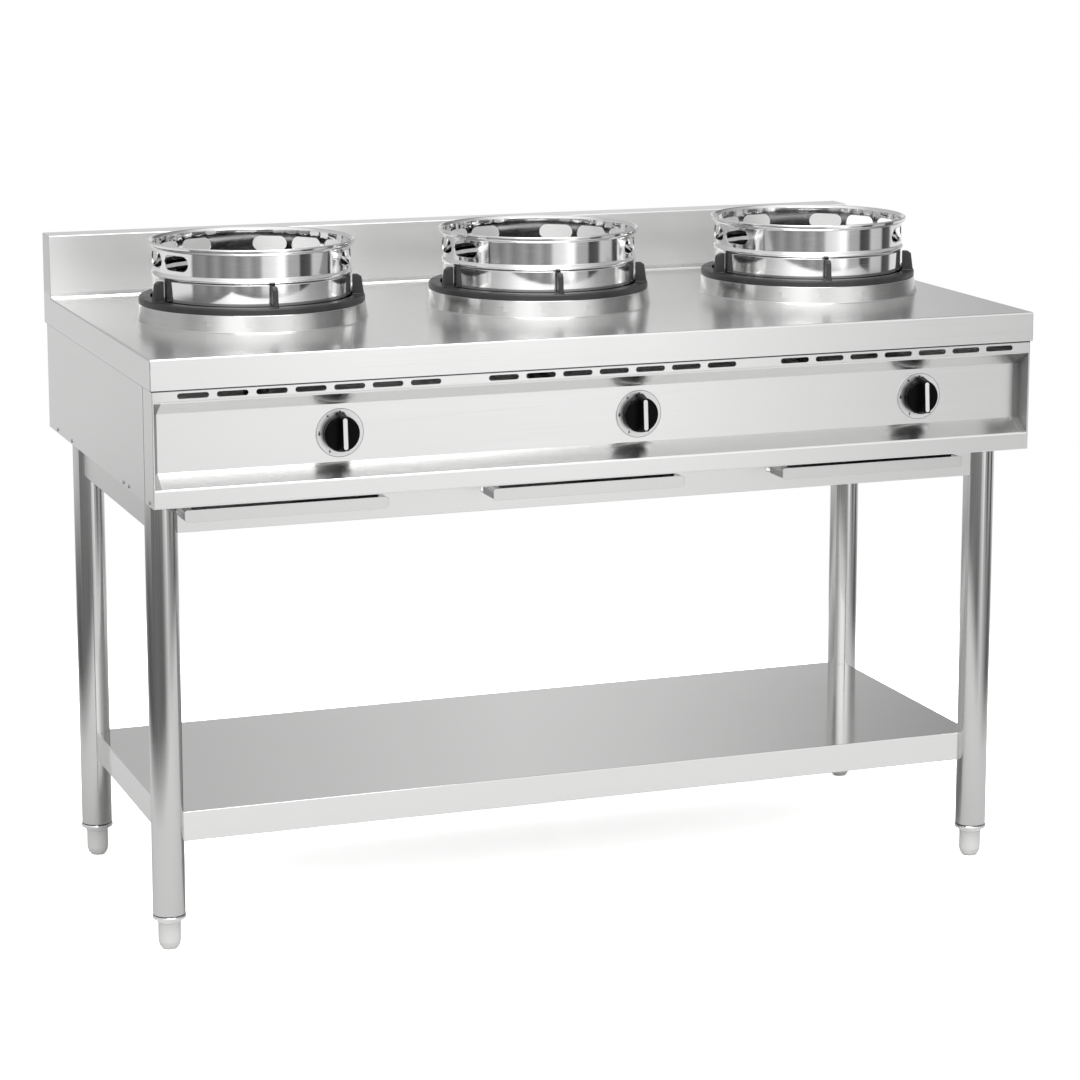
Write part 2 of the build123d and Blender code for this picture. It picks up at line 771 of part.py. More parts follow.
for name, rail_y, web in (("front_rail", leg_front_y, -1), ("rear_rail", leg_rear_y, 1)):
    with BuildPart() as rail:
        with BuildSketch(Plane(origin=(0, rail_y, 0), x_dir=(0, 1, 0), z_dir=(1, 0, 0))):
            with Locations((0, casing_bottom_z - rail_height / 2)):
                Rectangle(rail_width, rail_height)
            with Locations((-web * rail_wall / 2, casing_bottom_z - rail_height / 2)):
                Rectangle(rail_width - rail_wall, rail_height - 2 * rail_wall, mode=Mode.SUBTRACT)
        extrude(amount=leg_x, both=True)
        with BuildSketch(Plane.XY.offset(rail_bottom_z)):
            with Locations((-leg_x, rail_y), (leg_x, rail_y)):
                Circle(leg_radius)
        extrude(amount=rail_height, mode=Mode.SUBTRACT)
        if name == "front_rail":
            with BuildSketch(Plane.XY.offset(casing_bottom_z)):
                with Locations(*[(x, rail_y) for x in tray_xs.values()]):
                    Rectangle(2 * notch_half, rail_width)
            extrude(amount=-(tray_drop + tray_height + loose_gap), mode=Mode.SUBTRACT)
    save(rail.part, name)

with BuildPart() as side_rails:
    for side in (-1, 1):
        with BuildSketch(upright(shelf_mid_y, side * leg_x)):
            with Locations((0, casing_bottom_z - rail_height / 2)):
                Rectangle(rail_width, rail_height)
            with Locations((-side * rail_wall / 2, casing_bottom_z - rail_height / 2)):
                Rectangle(rail_width - rail_wall, rail_height - 2 * rail_wall, mode=Mode.SUBTRACT)
        extrude(amount=(leg_rear_y - leg_front_y) / 2, both=True)
    with BuildSketch(Plane.XY.offset(rail_bottom_z)):
        with Locations(*legs.values()):
            Circle(leg_radius)
    extrude(amount=rail_height, mode=Mode.SUBTRACT)
save(side_rails.part, "side_rails")

# ---------------------------------------------------------------- drip trays
tray_mid_y = tray_front_y + tray_length / 2
for name, x in tray_xs.items():
    with BuildPart() as tray:
        # front plate with short returns, wider than the pan and clear of the legs
        with BuildSketch(upright(tray_front_y)) as tray_face:
            with Locations((x, tray_top_z - tray_height / 2)):
                Rectangle(tray_front_width, tray_height)
            fillet(tray_face.vertices().group_by(Axis.Z)[0], radius=tray_corner)
        extrude(amount=-tray_front_return)
        with BuildSketch(upright(tray_front_y + tray_sheet)):
            with Locations((x, tray_top_z - tray_height / 2)):
                Rectangle(tray_front_width - 2 * tray_sheet, tray_height)
        extrude(amount=-tray_front_return, mode=Mode.SUBTRACT)
        # pan with a flange along each side
        with BuildSketch(Plane.XY.offset(tray_top_z - tray_height)):
            with Locations((x, tray_mid_y)):
                Rectangle(tray_width, tray_length)
        extrude(amount=tray_height)
        with BuildSketch(Plane.XY.offset(tray_top_z - tray_sheet)):
            with Locations((x, tray_mid_y)):
                Rectangle(tray_width + 2 * tray_flange, tray_length)
        extrude(amount=tray_sheet)
        with BuildSketch(Plane.XY.offset(tray_top_z - tray_height + tray_sheet)):
            with Locations((x, tray_mid_y)):
                Rectangle(tray_width - 2 * tray_sheet, tray_length - 2 * tray_sheet)
        extrude(amount=tray_height, mode=Mode.SUBTRACT)
    save(tray.part, f"drip_tray_{name}")

with BuildPart() as tray_runners:
    ledge_top_z = tray_top_z - tray_sheet - loose_gap
    for x in tray_xs.values():
        for side in (-1, 1):
            with BuildSketch(Plane.XY.offset(ledge_top_z - runner_wall)):
                with Locations((x + side * (runner_half + runner_wall / 2), tray_mid_y)):
                    Rectangle(runner_wall, tray_length - 2 * tray_front_inset)
            extrude(amount=casing_bottom_z - ledge_top_z + runner_wall)
            ledge_width = tray_flange - loose_gap
            with BuildSketch(Plane.XY.offset(ledge_top_z - runner_wall)):
                with Locations((x + side * (runner_half - ledge_width / 2), tray_mid_y)):
                    Rectangle(ledge_width, tray_length - 2 * tray_front_inset)
            extrude(amount=runner_wall)
save(tray_runners.part, "tray_runners")
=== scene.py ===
import json
import math

import bmesh
import bpy
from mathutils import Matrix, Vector

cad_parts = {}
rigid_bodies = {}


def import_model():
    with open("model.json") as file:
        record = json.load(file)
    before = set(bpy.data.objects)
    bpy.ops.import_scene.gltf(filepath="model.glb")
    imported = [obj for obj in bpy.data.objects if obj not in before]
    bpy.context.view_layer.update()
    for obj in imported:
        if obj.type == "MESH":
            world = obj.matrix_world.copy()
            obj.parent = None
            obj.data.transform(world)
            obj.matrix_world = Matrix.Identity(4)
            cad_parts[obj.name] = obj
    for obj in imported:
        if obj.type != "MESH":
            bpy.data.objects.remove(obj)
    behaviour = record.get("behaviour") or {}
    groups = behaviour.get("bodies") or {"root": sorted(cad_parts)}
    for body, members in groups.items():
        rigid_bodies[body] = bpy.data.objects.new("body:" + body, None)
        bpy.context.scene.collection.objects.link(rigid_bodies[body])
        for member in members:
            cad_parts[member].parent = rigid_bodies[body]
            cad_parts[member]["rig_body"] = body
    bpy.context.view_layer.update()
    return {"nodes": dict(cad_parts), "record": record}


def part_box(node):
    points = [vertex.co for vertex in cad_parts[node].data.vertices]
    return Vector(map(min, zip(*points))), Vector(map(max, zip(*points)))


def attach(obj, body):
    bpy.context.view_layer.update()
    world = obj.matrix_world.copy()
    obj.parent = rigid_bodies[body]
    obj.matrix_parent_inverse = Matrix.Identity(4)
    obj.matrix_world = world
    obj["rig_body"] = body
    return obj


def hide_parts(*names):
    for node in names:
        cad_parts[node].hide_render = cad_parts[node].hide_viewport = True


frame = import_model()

# wok range with three burners, in metres: +X is the cook's right, -Y the front
nodes = frame["nodes"]
burnerNames = ("left", "middle", "right")
legNames = ("front_left", "front_right", "rear_left", "rear_right")
worktopTop = 0.900
apronBottom = 0.855
foldAngle = 28    # degrees: sharper edges are folds
normalWeight = 90
burnerCentres = {}
for name in burnerNames:
    low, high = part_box(f"collar_{name}")
    burnerCentres[name] = Vector(((low.x + high.x) / 2, (low.y + high.y) / 2, 0))
knobCentres = {}
for name in burnerNames:
    low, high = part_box(f"spring_seat_{name}")
    knobCentres[name] = Vector(((low.x + high.x) / 2, low.y, (low.z + high.z) / 2))
burnerPitch = burnerCentres["right"].x - burnerCentres["middle"].x


# short forms for shader nodes
def makeNode(tree, kind, inputs=None, **attributes):
    node = tree.nodes.new(kind)
    for key, value in attributes.items():
        setattr(node, key, value)
    for key, value in (inputs or {}).items():
        if isinstance(value, bpy.types.NodeSocket):
            tree.links.new(value, node.inputs[key])
        else:
            node.inputs[key].default_value = value
    return node


def calc(tree, operation, *values):
    return makeNode(tree, "ShaderNodeMath", dict(enumerate(values)), operation=operation).outputs[0]


def remap(tree, value, fromLow, fromHigh, toLow, toHigh):
    inputs = {0: value, 1: fromLow, 2: fromHigh, 3: toLow, 4: toHigh}
    return makeNode(tree, "ShaderNodeMapRange", inputs).outputs[0]


def objectCoords(tree):
    return makeNode(tree, "ShaderNodeTexCoord").outputs["Object"]


def stretched(tree, vector, factors):
    return makeNode(tree, "ShaderNodeVectorMath", {0: vector, 1: factors}, operation="MULTIPLY").outputs[0]


def noise(tree, vector, scale, detail=2.0, rough=0.5):
    inputs = {"Vector": vector, "Scale": scale, "Detail": detail, "Roughness": rough}
    return makeNode(tree, "ShaderNodeTexNoise", inputs).outputs[0]


def blendValue(tree, factor, a, b):
    return makeNode(tree, "ShaderNodeMix", {0: factor, 2: a, 3: b}, data_type="FLOAT").outputs[0]


def blendVector(tree, factor, a, b):
    return makeNode(tree, "ShaderNodeMix", {0: factor, 4: a, 5: b}, data_type="VECTOR").outputs[1]


def tinted(tree, colour, strength):
    node = makeNode(tree, "ShaderNodeMix", {0: 1.0, 6: (*colour, 1)}, data_type="RGBA", blend_type="MULTIPLY")
    grey = makeNode(tree, "ShaderNodeCombineColor", {0: strength, 1: strength, 2: strength})
    tree.links.new(grey.outputs[0], node.inputs[7])
    return node.outputs[2]


def newMaterial(name):
    material = bpy.data.materials.new(name)
    material.use_nodes = True
    tree = material.node_tree
    tree.nodes.clear()
    shader = makeNode(tree, "ShaderNodeBsdfPrincipled")
    output = makeNode(tree, "ShaderNodeOutputMaterial")
    tree.links.new(shader.outputs["BSDF"], output.inputs["Surface"])
    return material, tree, shader


def polarCoords(tree, coords):
    parts = makeNode(tree, "ShaderNodeSeparateXYZ", {0: coords})
    half = burnerPitch / 2
    x = calc(tree, "WRAP", parts.outputs[0], half, -half)
    y = calc(tree, "SUBTRACT", parts.outputs[1], burnerCentres["middle"].y)
    radius = calc(tree, "SQRT", calc(tree, "ADD", calc(tree, "MULTIPLY", x, x), calc(tree, "MULTIPLY", y, y)))
    angle = calc(tree, "ARCTAN2", y, x)
    return makeNode(tree, "ShaderNodeCombineXYZ", {0: angle, 1: radius, 2: parts.outputs[2]}).outputs[0]


# dark lines painted where two parts meet, painted shade in the gaps: axis, place, half width
gapShadeLook = {"core": 0.6, "dark": 0.12}


def paintedGapShade(tree, coords, paintedGaps):
    axes = makeNode(tree, "ShaderNodeSeparateXYZ", {0: coords})
    shade = calc(tree, "ADD", 1.0, 0.0)
    for axis, place, halfWidth in paintedGaps:
        away = calc(tree, "ABSOLUTE", calc(tree, "SUBTRACT", axes.outputs[axis], place))
        line = remap(tree, away, halfWidth * gapShadeLook["core"], halfWidth, gapShadeLook["dark"], 1.0)
        shade = calc(tree, "MULTIPLY", shade, line)
    return shade


# a part of a sheet painted darker or paler than the rest, painted light and shade: axis, from, to, soft edge, same on
# both sides
def paintedShadeMask(tree, coords, paintedShadeZone):
    axes = makeNode(tree, "ShaderNodeSeparateXYZ", {0: coords})
    mask = calc(tree, "ADD", 1.0, 0.0)
    for axis, low, high, soft, mirrored in paintedShadeZone:
        place = axes.outputs[axis]
        if mirrored:
            place = calc(tree, "ABSOLUTE", place)
        rising = remap(tree, place, low - soft, low + soft, 0.0, 1.0)
        falling = remap(tree, place, high - soft, high + soft, 1.0, 0.0)
        mask = calc(tree, "MULTIPLY", mask, calc(tree, "MULTIPLY", rising, falling))
    return mask


# brushed lines are fine and coarse noise stretched along the brushing
brushing = {
    "fine": 0.75, "coarse": 0.25, "coarseStretch": (0.5, 0.22, 0.22), "roundTheBurner": 0.15, "sideFacing": 0.6,
    "detail": 3.0, "soft": 0.6, "low": 0.3, "high": 0.7, "toneLow": 0.25, "toneHigh": 0.75,
}


def brushedCoords(tree, coords, settings):
    along, across = settings["along"], settings["across"]
    if settings["grain"] == "polar":
        return stretched(tree, polarCoords(tree, coords), (along * brushing["roundTheBurner"], across, across))
    if settings["grain"] == "up":
        return stretched(tree, coords, (across, across, along))
    normal = makeNode(tree, "ShaderNodeNewGeometry").outputs["Normal"]
    facing = makeNode(tree, "ShaderNodeSeparateXYZ", {0: normal})
    sideways = calc(tree, "GREATER_THAN", calc(tree, "ABSOLUTE", facing.outputs[0]), brushing["sideFacing"])
    lengthwise = stretched(tree, coords, (along, across, across))
    depthwise = stretched(tree, coords, (across, along, across))
    return blendVector(tree, sideways, lengthwise, depthwise)


def metalMaterial(name, settings):
    material, tree, shader = newMaterial(name)
    coords = objectCoords(tree)
    grainCoords = brushedCoords(tree, coords, settings)
    fine = noise(tree, grainCoords, 1.0, brushing["detail"], brushing["soft"])
    coarse = noise(tree, stretched(tree, grainCoords, brushing["coarseStretch"]), 1.0)
    grain = calc(
        tree, "ADD",
        calc(tree, "MULTIPLY", fine, brushing["fine"]), calc(tree, "MULTIPLY", coarse, brushing["coarse"]))
    cloud = noise(tree, coords, settings["cloudScale"], brushing["detail"])
    depth, cloudDepth = settings["grainDepth"], settings["cloudDepth"]
    rough, tone = settings["rough"], settings["tone"]
    low, high = brushing["low"], brushing["high"]
    roughness = calc(
        tree, "ADD",
        remap(tree, grain, low, high, rough - depth, rough + depth),
        remap(tree, cloud, low, high, -cloudDepth, cloudDepth),
    )
    strength = remap(tree, grain, brushing["toneLow"], brushing["toneHigh"], 1 - tone, 1 + tone)
    shader.inputs["Metallic"].default_value = 1.0
    # painted shade: the zone's colour is darkened and its metallic lowered so it reads paler; its roughness is
    # changed too
    if settings.get("paintedShadeZone"):
        mask = paintedShadeMask(tree, coords, settings["paintedShadeZone"])
        shade, blur, metallic = settings["paintedShade"], settings["paintedShadeRough"], settings["paintedShadeMetallic"]
        strength = calc(tree, "MULTIPLY", strength, blendValue(tree, mask, 1.0, shade))
        roughness = blendValue(tree, mask, roughness, blur)
        tree.links.new(blendValue(tree, mask, 1.0, metallic), shader.inputs["Metallic"])
    tree.links.new(roughness, shader.inputs["Roughness"])
    # painted shade: dark lines in the gaps between parts
    if settings.get("paintedGaps"):
        strength = calc(tree, "MULTIPLY", strength, paintedGapShade(tree, coords, settings["paintedGaps"]))
    tree.links.new(tinted(tree, settings["colour"], strength), shader.inputs["Base Color"])
    swell = noise(tree, coords, settings["swellScale"], 1.0)
    sheetBump = makeNode(tree, "ShaderNodeBump", {"Strength": 1.0, "Distance": settings["swell"], "Height": swell})
    grainBump = makeNode(
        tree, "ShaderNodeBump",
        {"Strength": 1.0, "Distance": settings["scratch"], "Height": fine, "Normal": sheetBump.outputs[0]},
    )
    tree.links.new(grainBump.outputs[0], shader.inputs["Normal"])
    return material


# cast, moulded and painted surfaces: fine grain and slow clouds in equal parts
mottling = {"detail": 4.0, "soft": 0.6, "low": 0.3, "high": 0.7}


def plainMaterial(name, settings):
    material, tree, shader = newMaterial(name)
    coords = objectCoords(tree)
    low, high = mottling["low"], mottling["high"]
    grain = noise(tree, coords, settings["grainScale"], mottling["detail"], mottling["soft"])
    cloud = noise(tree, coords, settings["cloudScale"])
    mixed = calc(tree, "ADD", calc(tree, "MULTIPLY", grain, 0.5), calc(tree, "MULTIPLY", cloud, 0.5))
    tone = settings["tone"]
    strength = remap(tree, mixed, low, high, 1 - tone, 1 + tone)
    tree.links.new(tinted(tree, settings["colour"], strength), shader.inputs["Base Color"])
    rough, spread = settings["rough"], settings["spread"]
    tree.links.new(remap(tree, mixed, low, high, rough - spread, rough + spread), shader.inputs["Roughness"])
    shader.inputs["Metallic"].default_value = settings.get("metallic", 0.0)
    shader.inputs["Specular IOR Level"].default_value = settings.get("specular", 0.5)
    bump = makeNode(tree, "ShaderNodeBump", {"Strength": 1.0, "Distance": settings["bump"], "Height": grain})
    tree.links.new(bump.outputs[0], shader.inputs["Normal"])
    return material


# short forms for meshes
def addObject(name, mesh, material):
    piece = bpy.data.objects.new(name, mesh)
    bpy.context.scene.collection.objects.link(piece)
    mesh.materials.clear()
    mesh.materials.append(material)
    return piece


def settle(piece):
    bpy.context.view_layer.update()
    graph = bpy.context.evaluated_depsgraph_get()
    result = bpy.data.meshes.new_from_object(piece.evaluated_get(graph), depsgraph=graph)
    piece.modifiers.clear()
    piece.data = result


def smoothed(mesh, angle):
    mesh.polygons.foreach_set("use_smooth", [True] * len(mesh.polygons))
    mesh.set_sharp_from_angle(angle=math.radians(angle))


def evenNormals(piece):
    even = piece.modifiers.new("normals", "WEIGHTED_NORMAL")
    even.keep_sharp = True
    even.weight = normalWeight


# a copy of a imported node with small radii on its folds; the chooser gives each fold's share of the width
def softened(nodeName, material, settings, chooser=None):
    merged, flat = 2e-5, math.radians(0.4)
    work = bmesh.new()
    work.from_mesh(nodes[nodeName].data)
    bmesh.ops.remove_doubles(work, verts=work.verts, dist=merged)
    if settings.get("dissolve", True):    # off for sheets with holes
        bmesh.ops.dissolve_limit(work, angle_limit=flat, verts=work.verts, edges=work.edges)
    weights = work.edges.layers.float.new("bevel_weight_edge")
    limit = math.radians(settings.get("fromAngle", foldAngle))
    for edge in work.edges:
        if len(edge.link_faces) == 2 and edge.calc_face_angle(0) > limit:
            middle = (edge.verts[0].co + edge.verts[1].co) / 2
            edge[weights] = chooser(middle, edge) if chooser else 1.0
    mesh = bpy.data.meshes.new(nodeName)
    work.to_mesh(mesh)
    work.free()
    smoothed(mesh, foldAngle)
    piece = addObject(f"{nodeName}Look", mesh, material)
    bevel = piece.modifiers.new("edges", "BEVEL")
    bevel.limit_method = "WEIGHT"
    bevel.width = settings["width"]
    bevel.segments = settings.get("segments", 3)
    bevel.use_clamp_overlap = False
    evenNormals(piece)
    settle(piece)
    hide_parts(nodeName)
    body = nodes[nodeName]["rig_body"]
    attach(piece, body)
    return piece


def paint(nodeName, material):
    mesh = nodes[nodeName].data
    mesh.materials.clear()
    mesh.materials.append(material)


# a profile of (radius, height, corner radius) rows, with its corners rounded
def roundedPath(corners, segments):
    points = []
    for i, (r, z, radius) in enumerate(corners):
        here = Vector((r, z))
        if radius <= 0 or i in (0, len(corners) - 1):
            points.append(here)
            continue
        before = Vector(corners[i - 1][:2]) - here
        after = Vector(corners[i + 1][:2]) - here
        half = before.angle(after) / 2
        reach = min(radius / math.tan(half), before.length * 0.5, after.length * 0.5)
        start, end = here + before.normalized() * reach, here + after.normalized() * reach
        bulge = reach * math.tan(half)
        centre = here + (before.normalized() + after.normalized()).normalized() * (bulge / math.sin(half))
        a, b = start - centre, end - centre
        sweep = math.atan2(a.x * b.y - a.y * b.x, a.dot(b))
        for k in range(segments + 1):
            turn = sweep * k / segments
            c, s = math.cos(turn), math.sin(turn)
            points.append(centre + Vector((a.x * c - a.y * s, a.x * s + a.y * c)))
    return points


# materials, by the record's slots
sheetGrain = {
    "grain": "sheet", "colour": (0.80, 0.80, 0.795), "rough": 0.22, "along": 4.0, "across": 900.0,
    "grainDepth": 0.025, "cloudDepth": 0.02, "cloudScale": 2.5, "tone": 0.012, "swell": 0.0002, "swellScale": 2.5,
    "scratch": 0.000002,
}
# the upright splash: painted a little darker and made partly non-metallic so it reads paler, painted light for how
# light falls on it
splashPaintedLight = [(1, 0.3140, 0.400, 0.0008, False), (2, 0.906, 1.100, 0.0040, False)]
# painted shade in the end walls of the control recess
recessEndsPaintedShade = [
    (0, 0.6838, 0.6962, 0.0003, True), (1, -0.3612, -0.325, 0.0004, False), (2, 0.700, 0.840, 0.002, False),
]
# painted shade in the gap under the apron and at the return's end
casingGapShade = [(2, apronBottom - 0.0010, 0.0020), (1, -0.307, 0.0018)]    # under the apron, at the return's end
# painted shade in the gap above the chrome caps
legGapShade = [(2, 0.0535, 0.0014)]    # above the chrome caps
looks = {
    "worktop_steel": metalMaterial("worktopSteel", dict(
        sheetGrain, paintedShadeZone=splashPaintedLight, paintedShade=0.93, paintedShadeRough=0.30, paintedShadeMetallic=0.68)),
    "casing_steel": metalMaterial("casingSteel", dict(
        sheetGrain, rough=0.23, paintedGaps=casingGapShade, paintedShadeZone=recessEndsPaintedShade, paintedShade=0.40, paintedShadeRough=0.45,
        paintedShadeMetallic=0.8)),
    "collar_steel": metalMaterial("collarSteel", dict(
        sheetGrain, grain="polar", colour=(0.62, 0.62, 0.615), rough=0.17, along=8.0, across=600.0, tone=0.03,
        swell=0.00005)),
    "ring_chrome": metalMaterial("ringChrome", dict(
        sheetGrain, grain="polar", colour=(0.84, 0.84, 0.84), rough=0.075, along=6.0, across=420.0, grainDepth=0.02,
        tone=0.04, cloudDepth=0.03, swell=0.00012, swellScale=11.0)),
    "stand_steel": metalMaterial("standSteel", dict(sheetGrain, colour=(0.76, 0.76, 0.755), rough=0.24)),
    "shelf_steel": metalMaterial("shelfSteel", dict(sheetGrain, rough=0.10, grainDepth=0.02, swell=0.0003)),
    "tray_steel": metalMaterial("traySteel", dict(sheetGrain, colour=(0.71, 0.71, 0.705), rough=0.24)),
    "leg_steel": metalMaterial("legSteel", dict(
        sheetGrain, grain="up", colour=(0.62, 0.62, 0.615), rough=0.11, grainDepth=0.03, along=3.0, across=500.0,
        swell=0.00005, paintedGaps=legGapShade)),
    "socket_chrome": metalMaterial("socketChrome", dict(
        sheetGrain, grain="up", rough=0.10, grainDepth=0.02, swell=0.0)),
    "dial_silver": metalMaterial("dialSilver", dict(
        sheetGrain, colour=(0.82, 0.82, 0.815), rough=0.38, grainDepth=0.04, tone=0.03, swell=0.0)),
    "cast_iron": plainMaterial("castIron", {
        "colour": (0.019, 0.019, 0.0195), "grainScale": 700.0, "cloudScale": 40.0, "tone": 0.4, "rough": 0.38,
        "spread": 0.12, "bump": 0.00022, "metallic": 0.1, "specular": 0.55}),
    "brass": plainMaterial("brass", {
        "colour": (0.66, 0.50, 0.24), "grainScale": 400.0, "cloudScale": 20.0, "tone": 0.06, "rough": 0.32,
        "spread": 0.05, "bump": 0.00002, "metallic": 1.0}),
    "zinc_fittings": plainMaterial("zincFittings", {
        "colour": (0.62, 0.62, 0.60), "grainScale": 500.0, "cloudScale": 25.0, "tone": 0.06, "rough": 0.35,
        "spread": 0.05, "bump": 0.00002, "metallic": 1.0}),
    "pipe_steel": plainMaterial("pipePaint", {
        "colour": (0.32, 0.32, 0.31), "grainScale": 350.0, "cloudScale": 12.0, "tone": 0.08, "rough": 0.45,
        "spread": 0.06, "bump": 0.00004}),
    "knob_black": plainMaterial("knobBlack", {
        "colour": (0.003, 0.003, 0.0033), "grainScale": 1200.0, "cloudScale": 30.0, "tone": 0.12, "rough": 0.26,
        "spread": 0.04, "bump": 0.00001, "specular": 0.05}),
    "mark_white": plainMaterial("markWhite", {
        "colour": (0.62, 0.62, 0.61), "grainScale": 900.0, "cloudScale": 40.0, "tone": 0.06, "rough": 0.45,
        "spread": 0.04, "bump": 0.00001}),
    "foot_plastic": plainMaterial("footPlastic", {
        "colour": (0.62, 0.62, 0.61), "grainScale": 600.0, "cloudScale": 30.0, "tone": 0.04, "rough": 0.5,
        "spread": 0.05, "bump": 0.00002}),
}
# black print for the dial signs; the same black is painted shade in the flame ports and in the ring at each dial's
# edge
inkAndPaintedShade = plainMaterial("dialInkAndPaintedShade", {
    "colour": (0.05, 0.05, 0.052), "grainScale": 900.0, "cloudScale": 60.0, "tone": 0.1, "rough": 0.5,
    "spread": 0.04, "bump": 0.0})
screwSteel = plainMaterial("screwSteel", {
    "colour": (0.30, 0.30, 0.29), "grainScale": 1500.0, "cloudScale": 200.0, "tone": 0.1, "rough": 0.34,
    "spread": 0.06, "bump": 0.00001, "metallic": 1.0})
print("materials ready")

slotOf = {row["node"]: row["material_slot"] for row in frame["record"]["subparts"]}
for nodeName in nodes:
    paint(nodeName, looks[slotOf[nodeName]])


# sheet metal with folded edges
worktopSettings = {
    "frontY": -0.365, "splashY": 0.315, "splashTop": 1.0, "end": 0.7, "near": 0.0008, "well": 0.155,
    "uprightFrom": 0.02, "fold": 1.0, "splashFold": 0.7, "cornerFold": 0.6,
}


def worktopEdges(middle, edge, settings=worktopSettings):
    def near(value, place):
        return abs(value - place) < settings["near"]

    atTop, atEnd = near(middle.z, worktopTop), near(abs(middle.x), settings["end"])
    if atTop and (atEnd or near(middle.y, settings["frontY"]) or near(middle.y, settings["splashY"])):
        return settings["fold"]
    if near(middle.z, settings["splashTop"]):
        return settings["splashFold"]
    flat = Vector((middle.x, middle.y, 0))
    if any((flat - centre).length < settings["well"] for centre in burnerCentres.values()):
        return 0.0
    upright = abs(edge.verts[0].co.z - edge.verts[1].co.z) > settings["uprightFrom"]
    return settings["cornerFold"] if upright and atEnd else 0.0


# node: softening, chooser of folds
sheetPieces = {
    "worktop": ({"width": 0.0026, "segments": 4, "dissolve": False}, worktopEdges),
    "control_panel": ({"width": 0.0003, "dissolve": False}, None),
    "side_panel_left": ({"width": 0.0003}, None),
    "side_panel_right": ({"width": 0.0003}, None),
    "rear_panel": ({"width": 0.0003, "dissolve": False}, None),
    "shelf": ({"width": 0.0010, "fromAngle": 60}, None),
    "front_rail": ({"width": 0.0008, "fromAngle": 60}, None),
    "rear_rail": ({"width": 0.0008, "fromAngle": 60}, None),
    "side_rails": ({"width": 0.0008, "fromAngle": 60}, None),
}
for name in burnerNames:
    sheetPieces[f"drip_tray_{name}"] = ({"width": 0.0005, "fromAngle": 60}, None)
    sheetPieces[f"collar_{name}"] = ({"width": 0.0007}, None)
    sheetPieces[f"trivet_{name}"] = ({"width": 0.0012}, None)
    sheetPieces[f"knob_{name}"] = ({"width": 0.0005}, None)
    sheetPieces[f"knob_mark_{name}"] = ({"width": 0.00015}, None)
for corner in legNames:
    sheetPieces[f"foot_{corner}"] = ({"width": 0.0012}, None)
for nodeName, (settings, chooser) in sheetPieces.items():
    softened(nodeName, looks[slotOf[nodeName]], settings, chooser)
print("sheet pieces softened")


# front sheet, folded from one blank: slotted strip, sloped reveals, upright ends, lip, foot and returns
fasciaSettings = {
    "sheet": 0.0015, "recessTop": 0.836, "recessBottom": 0.7105, "slope": 0.020, "margin": 0.003, "flange": 0.010,
    "slotDrop": 0.0545, "slotPitch": 0.0578, "slotShift": -0.012, "slotsPerGroup": 7, "slotLength": 0.0465,
    "slotHeight": 0.008, "slotSteps": 8, "foot": 0.025, "return": 0.055, "bend": 0.0022, "segments": 4,
    "bendFrom": 0.3, "endBend": 0.45, "nearFace": 0.0005, "nearEnd": 0.001,
}


def slotOutline(x, z, settings):
    radius, steps = settings["slotHeight"] / 2, settings["slotSteps"]
    straight = settings["slotLength"] / 2 - radius
    points = []
    for side in (1, -1):
        for k in range(steps + 1):
            t = math.radians(-90 + 180 * k / steps)
            points.append((x + side * (straight + radius * math.cos(t)), z + side * radius * math.sin(t)))
    return points


